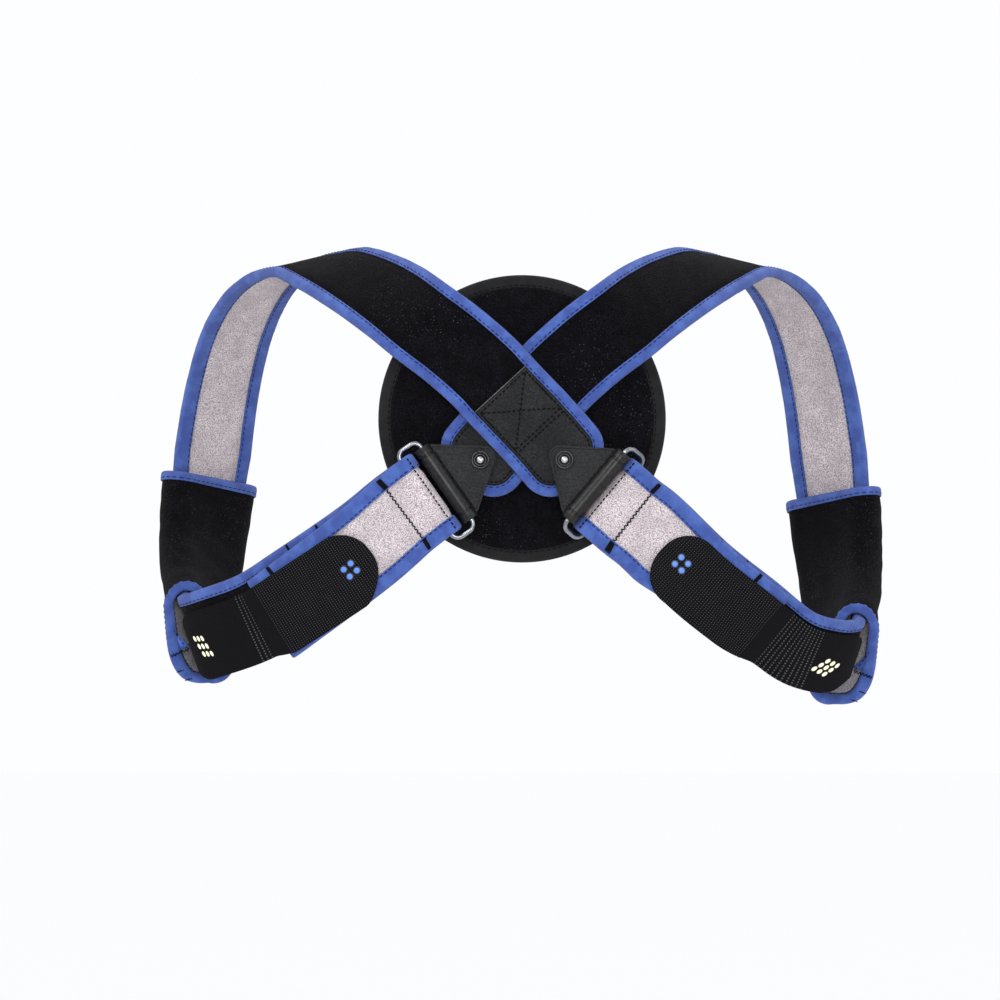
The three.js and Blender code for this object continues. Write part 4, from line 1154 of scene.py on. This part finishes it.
def oval(radius, middle, count=18, flats=16):
    """A flattened oval: half circles at both ends joined by flats, with the way each point faces."""
    ring = []
    for sign in (1, -1):
        for k in range(count + 1):
            angle = math.pi * k / count - math.pi / 2
            aim = (sign * math.cos(angle), sign * math.sin(angle))
            ring.append((sign * middle + radius * aim[0], radius * aim[1], aim))
        for k in range(1, flats):
            x = sign * middle * (1 - 2 * k / flats)
            ring.append((x, sign * radius, (0.0, float(sign))))
    return ring


# The sleeves take the same brushed lining painted paler, as painted light inside their shaded mouths
lining_painted_lighter = pile_material("brushed_lining_painted_lighter", dark=(0.8, 0.74, 0.77, 1), light=(0.92, 0.88, 0.91, 1),
                            painted_glint_colour=(0.95, 0.93, 0.95, 1), tufts_per_metre=1500.0, depth=0.0005,
                            sheen=0.12, gloss=0.06)


def sleeve_wrinkle(spot, station, reach):
    """Soft dents of the padding and creases that fan out from the bend under the arm."""
    fan = noise.noise(Vector((spot.x * 0.03, station["at"] * 0.11, spot.z * 0.03)))
    return 0.5 * noise.noise(spot * 0.06) * reach + 0.45 * fan * reach


def open_ends(shell):
    """The two end faces of a swept shell taken away, in edit mode."""
    edit_only(shell)
    bpy.ops.object.mode_set(mode="EDIT")
    bpy.ops.mesh.select_mode(type="FACE")
    bpy.ops.mesh.select_all(action="DESELECT")
    bpy.ops.object.mode_set(mode="OBJECT")
    for face in shell.data.polygons:
        face.select = len(face.vertices) > 4
    bpy.ops.object.mode_set(mode="EDIT")
    bpy.ops.mesh.delete(type="FACE")
    bpy.ops.object.mode_set(mode="OBJECT")


for side in ("left", "right"):
    run, body = straps[side]["run"], straps[side]["body"]
    mouth = body[-1]["at"] - mouth_mark(side)
    straps[side]["mouth"], straps[side]["front"] = mouth, mouth - SLEEVE_LENGTH[side]
    begin, finish = straps[side]["front"] + 1.2, mouth - 1.2

    def on_sleeve(station, x, y, aim):
        """A place on the sleeve, the way it faces, and how far the open mouth lifts it."""
        spot = station["point"] + station["across"] * x + station["out"] * y
        outward = station["across"] * aim[0] + station["out"] * aim[1]
        return spot, outward, station["out"] * (opened(station, mouth, x, y) - y)

    def sleeve_section(station):
        reach = eased(min(station["at"] - begin, finish - station["at"]) / 14.0)
        ring = []
        for x, y, aim in oval(SLEEVE_ROOM + SLEEVE_WALL, SLEEVE_MIDDLE):
            spot, outward, lifted = on_sleeve(station, x, y, aim)
            swell = 0.5 * reach + sleeve_wrinkle(spot, station, reach)
            ring.append(spot + lifted + outward * min(0.9, swell))
        return ring

    def lining_section(station):
        reach = eased(min(station["at"] - begin, finish - station["at"]) / 10.0)
        ring = []
        for x, y, aim in oval(SLEEVE_ROOM, SLEEVE_MIDDLE)[::-1]:
            spot, outward, lifted = on_sleeve(station, x, y, aim)
            crease = noise.noise(Vector((x * 0.3, y * 0.16, station["at"] * 0.03))) * 0.9
            swell = 0.5 * sleeve_wrinkle(spot, station, reach) + min(0.5, crease) * reach
            ring.append(spot + lifted + outward * swell)
        return ring

    rows = stretch(run, begin, finish, 2.2)
    finishes = [velour, lining_painted_lighter]
    outer = swept(f"{side}_underarm_sleeve_velour", rows, sleeve_section, finishes)
    inner = swept(f"{side}_underarm_sleeve_lining", rows, lining_section, finishes, slot_of=lambda k: 1)
    open_ends(outer)
    open_ends(inner)
    edit_only(outer)
    inner.select_set(True)
    bpy.ops.object.join()
    bpy.ops.object.mode_set(mode="EDIT")
    bpy.ops.mesh.select_mode(type="EDGE")
    bpy.ops.mesh.select_all(action="DESELECT")
    bpy.ops.mesh.select_non_manifold(extend=False, use_wire=False, use_boundary=True,
                                     use_multi_face=False, use_non_contiguous=False, use_verts=False)
    bpy.ops.mesh.bridge_edge_loops(type="PAIRS")
    bpy.ops.object.mode_set(mode="OBJECT")
    face_outwards(outer)
    outer.data.shade_smooth()
    finish_piece(outer, f"{side}_underarm_sleeve", slot="velour")

# Edgings of the sleeves
# The same blue tape folded over both mouths of each sleeve and sewn through.
# The thread pulls it down at each stitch, so it puckers a little between them.

# The folded tape in section: out from the middle of the wall, and in from the mouth
EDGING = [(0.0, 0.0), (0.9, 0.05), (1.9, 0.35), (2.6, 1.1), (2.86, 2.2), (2.92, 3.6), (2.72, 4.6),
          (2.86, 5.6), (2.7, 6.3), (2.2, 6.5), (2.0, 6.3), (2.0, 1.5), (1.2, 0.95), (0.0, 0.9)]
EDGING = [(-x, y) for x, y in EDGING[1:-1][::-1]] + EDGING
EDGING_OUTSIDE = 2.4
EDGING_LIMIT = 2.98
SEWN_IN = 4.7
SEWN_LEVEL = 2.84
for side in ("left", "right"):
    run, mouth = straps[side]["run"], straps[side]["mouth"]
    for place, at, inward in (("back", mouth, -1), ("front", straps[side]["front"], 1)):
        mouth_station = station_at(run, at)
        rim, length = [], 0.0
        for x, y, aim in oval(SLEEVE_ROOM + SLEEVE_WALL / 2, SLEEVE_MIDDLE, 24, 36):
            level = opened(mouth_station, mouth, x, y)
            spot = mouth_station["point"] + mouth_station["across"] * x + mouth_station["out"] * level
            length += (spot - rim[-1]["point"]).length if rim else 0.0
            rim.append({"point": spot, "x": x, "y": y, "aim": aim, "at": length})
        whole = length + (rim[0]["point"] - rim[-1]["point"]).length
        count = round(whole / STITCH_PITCH)

        def on_edging(station, x, y, aim, wide):
            """A place on the edging, off the middle of the sleeve's wall."""
            x, y = x + aim[0] * wide, y + aim[1] * wide
            return station["point"] + station["across"] * x + station["out"] * opened(station, mouth, x, y)

        def edging_section(station):
            pucker = 0.14 * math.cos(station["at"] / whole * count * 2 * math.pi)
            soft = 0.14 * noise.noise(station["point"] * 0.13)
            ring = []
            for offset, reach in EDGING:
                swell = (pucker * (reach > 3) + soft) * (abs(offset) > EDGING_OUTSIDE)
                wide = math.copysign(min(EDGING_LIMIT, abs(offset) + swell), offset)
                here = station_at(run, at + inward * reach)
                ring.append(on_edging(here, station["x"], station["y"], station["aim"], wide))
            return ring if inward > 0 else ring[::-1]

        def sewn_place(reached, wide):
            """A place on the edging's seam at a length along the rim, and the way it faces."""
            near = min(range(len(rim)), key=lambda j: abs(rim[j]["at"] - reached))
            first, second = rim[near], rim[(near + 1) % len(rim)]
            share, gap_to = 0.0, second["at"] - first["at"]
            if gap_to > 0:
                share = max(-1.0, min(1.0, (reached - first["at"]) / gap_to))
            x, y = (first[name] + (second[name] - first[name]) * share for name in ("x", "y"))
            here, aim = station_at(run, at + inward * SEWN_IN), first["aim"]
            facing_way = (here["across"] * aim[0] + here["out"] * aim[1]).normalized()
            return on_edging(here, x, y, aim, wide), facing_way * math.copysign(1.0, wide)

        edging = swept(f"{side}_sleeve_{place}_tape", rim, edging_section, [blue_tape], looped=True)
        face_outwards(edging)
        finish_piece(edging, f"{side}_sleeve_{place}_edging", slot="blue_tape")
        sewn = []
        for wide in (SEWN_LEVEL, -SEWN_LEVEL):
            for k in range(count):
                ends = [sewn_place(part * whole / count, wide) for part in (k + 0.14, k + 0.86)]
                if (ends[0][0] - ends[1][0]).length > 0.5:
                    sewn.append(threaded(*ends))
        sewing = stitches(f"{side}_sleeve_{place}_stitching", sewn, navy_thread, thick=0.24)
        finish_piece(sewing, slot="blue_tape")

# Tucks inside the back mouths
# A small three-cornered tuck of the blue tape closes each mouth's corner.
# It is held by a dark zigzag over the edging, a row of stitches on the tuck and two tacks further down.

TUCK_CELLS = 6
TUCK_START = -6.5
TUCK_LENGTH = 12.5
TUCK_DEPTH = 8.6
for side in ("left", "right"):
    run, mouth = straps[side]["run"], straps[side]["mouth"]
    rim_station = station_at(run, mouth)

    def in_mouth(lower, depth, ahead):
        """A place in the mouth: towards its lower end, in from the rim, and ahead of the rim."""
        station = station_at(run, mouth + ahead)
        x = -lower if station["across"].z > 0 else lower
        level = opened(rim_station, mouth, x, SLEEVE_ROOM + SLEEVE_WALL / 2) - depth
        return station["point"] + station["across"] * x + station["out"] * level

    points, faces = [], []
    for ahead in (-3.8, -2.8):
        for row in range(TUCK_CELLS + 1):
            share = row / TUCK_CELLS
            for column in range(TUCK_CELLS + 1):
                depth = 1.6 + TUCK_DEPTH * share ** 0.8 * column / TUCK_CELLS
                puff = 0.8 * math.sin(math.pi * share) * math.sin(math.pi * column / TUCK_CELLS)
                points.append(in_mouth(TUCK_START + TUCK_LENGTH * share, depth, ahead + puff))
    side_length = TUCK_CELLS + 1
    layer, last = side_length ** 2, side_length ** 2 - 1
    for base, order in ((0, 1), (layer, -1)):
        for row in range(TUCK_CELLS):
            for column in range(TUCK_CELLS):
                corner = base + row * side_length + column
                faces.append((corner, corner + 1, corner + side_length + 1, corner + side_length)[::order])
    rim = list(range(TUCK_CELLS)) + list(range(TUCK_CELLS, last, side_length))
    rim += [last - k for k in rim]
    for corner, after in zip(rim, rim[1:] + rim[:1]):
        faces.append((corner, after, after + layer, corner + layer))
    spreads = [[(points[corner].x * MM, points[corner].z * MM) for corner in face] for face in faces]
    tuck = mesh_piece(f"{side}_mouth_tuck", points, faces, [blue_tape], spreads)
    face_outwards(tuck)
    finish_piece(tuck, slot="blue_tape")
    pairs = []
    for k in range(6):
        depth = -1.6 + 1.9 * k
        zig = [in_mouth(lower, reach, 0.35 if reach < 3 else -0.9)
               for lower, reach in ((6.2, depth), (8.0, depth + 0.95), (6.2, depth + 1.9))]
        pairs += [zig[:2], zig[1:]]
    for k in range(5):
        pairs.append([in_mouth(lower + 3.0 * k, depth + 1.6 * k, -0.9)
                      for lower, depth in ((-7.5, 1.9), (-5.6, 2.9))])
    for lower in (17.5, 24.0):
        pairs.append([in_mouth(lower, depth, 0.3) for depth in (-2.4, 2.4)])
    tacks = [(start, end, rim_station["along"]) for start, end in pairs]
    finish_piece(stitches(f"{side}_mouth_tack", tacks, black_thread, thick=0.3), slot="blue_tape")

# Clips
# A black moulding: a three-cornered plate with a pebbled face, and a smooth barrel along its long side.
# The ring's wire lies in the barrel, and a rivet through the plate holds the clip on the strap's tip.

PLATE_THICKNESS = 2.0
PLATE_REACH = 37.0
PLATE_HALF = 25.0
PLATE_CORNER = 6.0
BARREL_RADIUS = 5.0
BARREL_LENGTH = STRAP_WIDTH - 2.2
BORE = 1.9
moulding = grain_material("black_pebbled_moulding", dark=(0.0075, 0.008, 0.009, 1),
                          light=(0.013, 0.0138, 0.0155, 1), rough=0.5, smooth=0.4,
                          pebbles_per_metre=1000.0, depth=0.0005, specular=0.2)
barrel_black = grain_material("black_smooth_moulding", dark=(0.006, 0.006, 0.007, 1),
                              light=(0.012, 0.012, 0.013, 1), rough=0.42, smooth=0.34,
                              pebbles_per_metre=600.0, depth=0.00006, specular=0.25)


def clip_matrix(side):
    clip = straps[side]["clip"]
    outward = Vector((0, -1, 0))
    long = clip["inward"].cross(outward)
    turn = Matrix((long, clip["inward"], outward)).transposed().to_4x4()
    return Matrix.Translation(clip["barrel"] * MM) @ turn


def clip_plate(name):
    """A triangle with corners rounded in edit mode, drawn up to its thickness, with a low rim on its face."""
    root = (BARREL_RADIUS + BORE) / 2
    angle = math.atan2(PLATE_REACH - root, PLATE_HALF)
    touch = Vector((math.sin(angle), math.cos(angle))) * PLATE_CORNER
    touch.y += PLATE_REACH - PLATE_CORNER / math.cos(angle)
    apex = root + (touch.y - root) * PLATE_HALF / (PLATE_HALF - touch.x)
    bpy.ops.mesh.primitive_circle_add(vertices=3, radius=0.02, fill_type="NGON")
    piece = bpy.context.object
    piece.name = name
    places = [(0, apex), (-PLATE_HALF, root), (PLATE_HALF, root)]
    for vertex, (x, y) in zip(piece.data.vertices, places):
        vertex.co = (x * MM, y * MM, -PLATE_THICKNESS / 2 * MM)
    edit_only(piece)
    half_angle = math.atan2(PLATE_HALF, apex - root)
    for corner, offset, steps in ((0, PLATE_CORNER / math.tan(half_angle), 12), (1, 4.0, 6), (2, 4.0, 6)):
        bpy.ops.object.mode_set(mode="EDIT")
        bpy.ops.mesh.select_mode(type="VERT")
        bpy.ops.mesh.select_all(action="DESELECT")
        bpy.ops.object.mode_set(mode="OBJECT")
        near = min(piece.data.vertices, key=lambda v: (v.co / MM - Vector((*places[corner], -1))).length)
        near.select = True
        bpy.ops.object.mode_set(mode="EDIT")
        bpy.ops.mesh.bevel(offset=offset * MM, segments=steps, affect="VERTICES")
        bpy.ops.object.mode_set(mode="OBJECT")
    bpy.ops.object.mode_set(mode="EDIT")
    bpy.ops.mesh.select_mode(type="FACE")
    bpy.ops.mesh.select_all(action="SELECT")
    bpy.ops.mesh.extrude_region_move(TRANSFORM_OT_translate={"value": (0, 0, PLATE_THICKNESS * MM)})
    bpy.ops.mesh.inset(thickness=0.3 * MM, depth=0.0)
    bpy.ops.transform.translate(value=(0, 0, 0.12 * MM))
    bpy.ops.mesh.inset(thickness=0.95 * MM, depth=0.0)
    bpy.ops.mesh.inset(thickness=0.35 * MM, depth=-0.3 * MM)
    bpy.ops.object.mode_set(mode="OBJECT")
    face_outwards(piece)
    return piece


def smooth_below(piece, degrees):
    """Faces that meet at less than an angle shaded as one."""
    edit_only(piece)
    piece.data.shade_smooth()
    bpy.ops.object.shade_smooth_by_angle(angle=math.radians(degrees))


HALF_BARREL = BARREL_LENGTH / 2
# Half of the barrel's profile with a groove near its end: radius, and how far in from the end
BARREL_END = [(BORE, 0.0), (4.3, 0.0), (4.75, 0.15), (5.0, 0.6), (5.0, 4.9), (4.85, 5.1), (4.5, 5.3),
              (4.5, 6.0), (4.85, 6.2), (5.0, 6.4)]
BARREL = [(radius, -HALF_BARREL + inset) for radius, inset in BARREL_END]
BARREL += [(x, -y) for x, y in BARREL[::-1]] + [(BORE, -HALF_BARREL)]
for side in ("left", "right"):
    matrix = clip_matrix(side)
    plate = clip_plate(f"{side}_clip_plate")
    bevel = plate.modifiers.new("softened edges", "BEVEL")
    bevel.width, bevel.segments, bevel.limit_method = 0.28 * MM, 3, "ANGLE"
    bevel.angle_limit = math.radians(35)
    bpy.ops.object.modifier_apply(modifier=bevel.name)
    smooth_below(plate, 40)
    plate.data.materials.append(moulding)
    plate.data.transform(matrix)
    barrel = turned(f"{side}_clip_barrel", BARREL, 64, barrel_black)
    smooth_below(barrel, 32)
    barrel.data.transform(matrix @ Matrix.Rotation(-math.pi / 2, 4, "Z"))
    finish_piece(plate, slot="moulding")
    finish_piece(barrel, f"{side}_clip", slot="moulding")

# Rings
# Nickelled steel wire bent to a long ring with round corners.
# One long side lies in the clip's barrel, and the other in the strap's fold.

WIRE_RADIUS = 1.5
WIRE_SIDES = 16
RING_CORNER = 4.6
CORNER_STEPS = 12


def metal_material(name, dark, light, scale, detail, smooth, rough, relief=0.0, metallic=1.0, **constants):
    """Metal or lacquer whose colour and gloss drift a little from place to place."""
    made, tree, shader = new_material(name, smooth, metallic, **constants)
    cloud = clouds(tree, place_on(tree), scale, detail)
    tree.links.new(blended(tree, cloud, dark, light), shader.inputs["Base Color"])
    tree.links.new(ranged(tree, cloud, smooth, rough), shader.inputs["Roughness"])
    if relief:
        raise_relief(tree, shader, cloud, relief)
    return made


nickel = metal_material("nickelled_wire", dark=(0.12, 0.125, 0.135, 1), light=(0.27, 0.28, 0.295, 1),
                        scale=420.0, detail=6.0, smooth=0.16, rough=0.36, relief=0.00004)
for side in ("left", "right"):
    half_long = (BARREL_LENGTH + 2 * GAP) / 2
    half_short = RING_SPACING / 2 - RING_CORNER
    course = []
    for corner, (right, up) in enumerate(((1, 1), (-1, 1), (-1, -1), (1, -1))):
        centre = Vector((right * half_long, up * half_short - RING_SPACING / 2, 0))
        for k in range(CORNER_STEPS + 1):
            angle = math.pi / 2 * (corner + k / CORNER_STEPS)
            away = Vector((math.cos(angle), math.sin(angle), 0))
            course.append({"point": centre + away * RING_CORNER, "away": away})
    measured(course)

    def wire_section(station):
        angles = [2 * math.pi * k / WIRE_SIDES for k in range(WIRE_SIDES)]
        return [station["point"] + station["away"] * (WIRE_RADIUS * math.cos(angle))
                + Vector((0, 0, WIRE_RADIUS * math.sin(angle))) for angle in angles]

    ring = swept(f"{side}_wire_ring", course, wire_section, [nickel], looped=True)
    lift = straps[side]["clip"]["ring_out"]
    tilt = Matrix.Rotation(math.atan2(lift.y, math.hypot(lift.x, lift.z)), 4, "X")
    ring.data.transform(clip_matrix(side) @ tilt)
    face_outwards(ring)
    finish_piece(ring, f"{side}_ring", slot="nickel_wire")

# Rivets
# A steel rivet in black lacquer: a raised collar, a bowl and a small dome on the plate, and a flat tail
# in the strap. The dome is light grey steel, as a painted highlight.

rivet_black = metal_material("black_lacquered_steel", dark=(0.003, 0.003, 0.004, 1),
                             light=(0.008, 0.008, 0.009, 1), scale=900.0, detail=5.0, smooth=0.24,
                             rough=0.36, metallic=0.0, Specular_IOR_Level=0.12, Coat_Weight=0.25,
                             Coat_Roughness=0.03)
painted_highlight_steel = metal_material("painted_highlight_steel", dark=(0.22, 0.22, 0.23, 1), light=(0.5, 0.5, 0.52, 1),
                            scale=1400.0, detail=4.0, smooth=0.2, rough=0.4)
SEAT = PLATE_THICKNESS / 2 + 0.12
FOOT = -(PLATE_MID + STRAP_THICKNESS / 2 - GAP)
DOME_RADIUS = 2.0
DOME_FOOT = SEAT + 1.35
# Radius and level of the tail and the stem, and of the head above its seat
TAIL = [(0, FOOT), (3.9, FOOT), (4.3, FOOT + 0.25), (4.3, FOOT + 0.7), (4.0, FOOT + 0.9), (2.0, FOOT + 0.9)]
HEAD = [(2.0, 0), (5.1, 0), (5.3, 0.3), (5.28, 1.0), (5.0, 1.35), (4.6, 1.45), (4.2, 1.3), (3.9, 0.6),
        (3.5, 0.25), (3.0, 0.22), (2.6, 0.5), (2.3, 0.9), (1.8, 1.3), (1.1, 1.62), (0.5, 1.74), (0, 1.76)]
RIVET = TAIL + [(radius, SEAT + level) for radius, level in HEAD]
for side in ("left", "right"):
    rivet = turned(f"{side}_rivet_head", RIVET, 48, rivet_black)
    rivet.data.materials.append(painted_highlight_steel)
    # The dome's faces take the light steel, a painted highlight on the lacquered rivet
    for face in rivet.data.polygons:
        reach = math.hypot(face.center.x, face.center.z) / MM
        face.material_index = int(face.center.y > DOME_FOOT * MM and reach < DOME_RADIUS)
    lift = Matrix.Translation((0, RIVET_TO_BARREL * MM, 0))
    rivet.data.transform(clip_matrix(side) @ lift @ Matrix.Rotation(math.pi / 2, 4, "X"))
    smooth_below(rivet, 45)
    finish_piece(rivet, f"{side}_rivet", slot="black_rivet")

# Floor, light and camera
# A pale floor well below the brace and soft light all round.
# The camera looks straight on to the middle of the back through a long lens.

FLOOR_LEVEL = -1.6
bpy.ops.mesh.primitive_plane_add(size=40.0, location=(0, 0, FLOOR_LEVEL))
floor = bpy.context.object
floor.name = "floor"
paper, tree, shader = new_material("pale_paper", 0.9, Specular_IOR_Level=0.1)
tooth = clouds(tree, place_on(tree), scale=40.0, detail=4.0)
tree.links.new(blended(tree, tooth, (0.975, 0.98, 0.985, 1), (0.99, 0.99, 0.99, 1)),
               shader.inputs["Base Color"])
floor.data.materials.append(paper)

world = bpy.context.scene.world or bpy.data.worlds.new("studio")
bpy.context.scene.world = world
world.use_nodes = True
world.node_tree.nodes["Background"].inputs["Color"].default_value = (0.985, 0.99, 1.0, 1)
world.node_tree.nodes["Background"].inputs["Strength"].default_value = 1.0
LIT_POINT = Vector((0, 0, -0.03))
# Name, place, size and power of each light
LIGHTS = [("key", (-1.3, -1.7, 1.4), 0.9, 26.0), ("fill", (1.8, -1.5, 0.5), 1.4, 12.0),
          ("top", (0.1, 0.2, 1.8), 1.2, 10.0), ("front", (0.12, -2.5, 0.12), 0.5, 26.0)]
for name, spot, size, power in LIGHTS:
    light = bpy.data.lights.new(name, "AREA")
    light.size, light.energy = size, power
    lamp = bpy.data.objects.new(name, light)
    lamp.location = spot
    lamp.rotation_euler = (LIT_POINT - Vector(spot)).to_track_quat("-Z", "Y").to_euler()
    bpy.context.collection.objects.link(lamp)

CAMERA_DISTANCE = 2.25
HALF_FIELD = 0.2875
camera_data = bpy.data.cameras.new("camera")
camera_data.sensor_width = 36.0
camera_data.lens = camera_data.sensor_width / 2 * CAMERA_DISTANCE / HALF_FIELD
camera_data.clip_end = 60.0
camera = bpy.data.objects.new("camera", camera_data)
camera.location = (-0.01265, -CAMERA_DISTANCE, -0.04658)
camera.rotation_euler = (math.pi / 2, 0, 0)
bpy.context.collection.objects.link(camera)
bpy.context.scene.camera = camera
bpy.context.scene.view_settings.view_transform = "Standard"
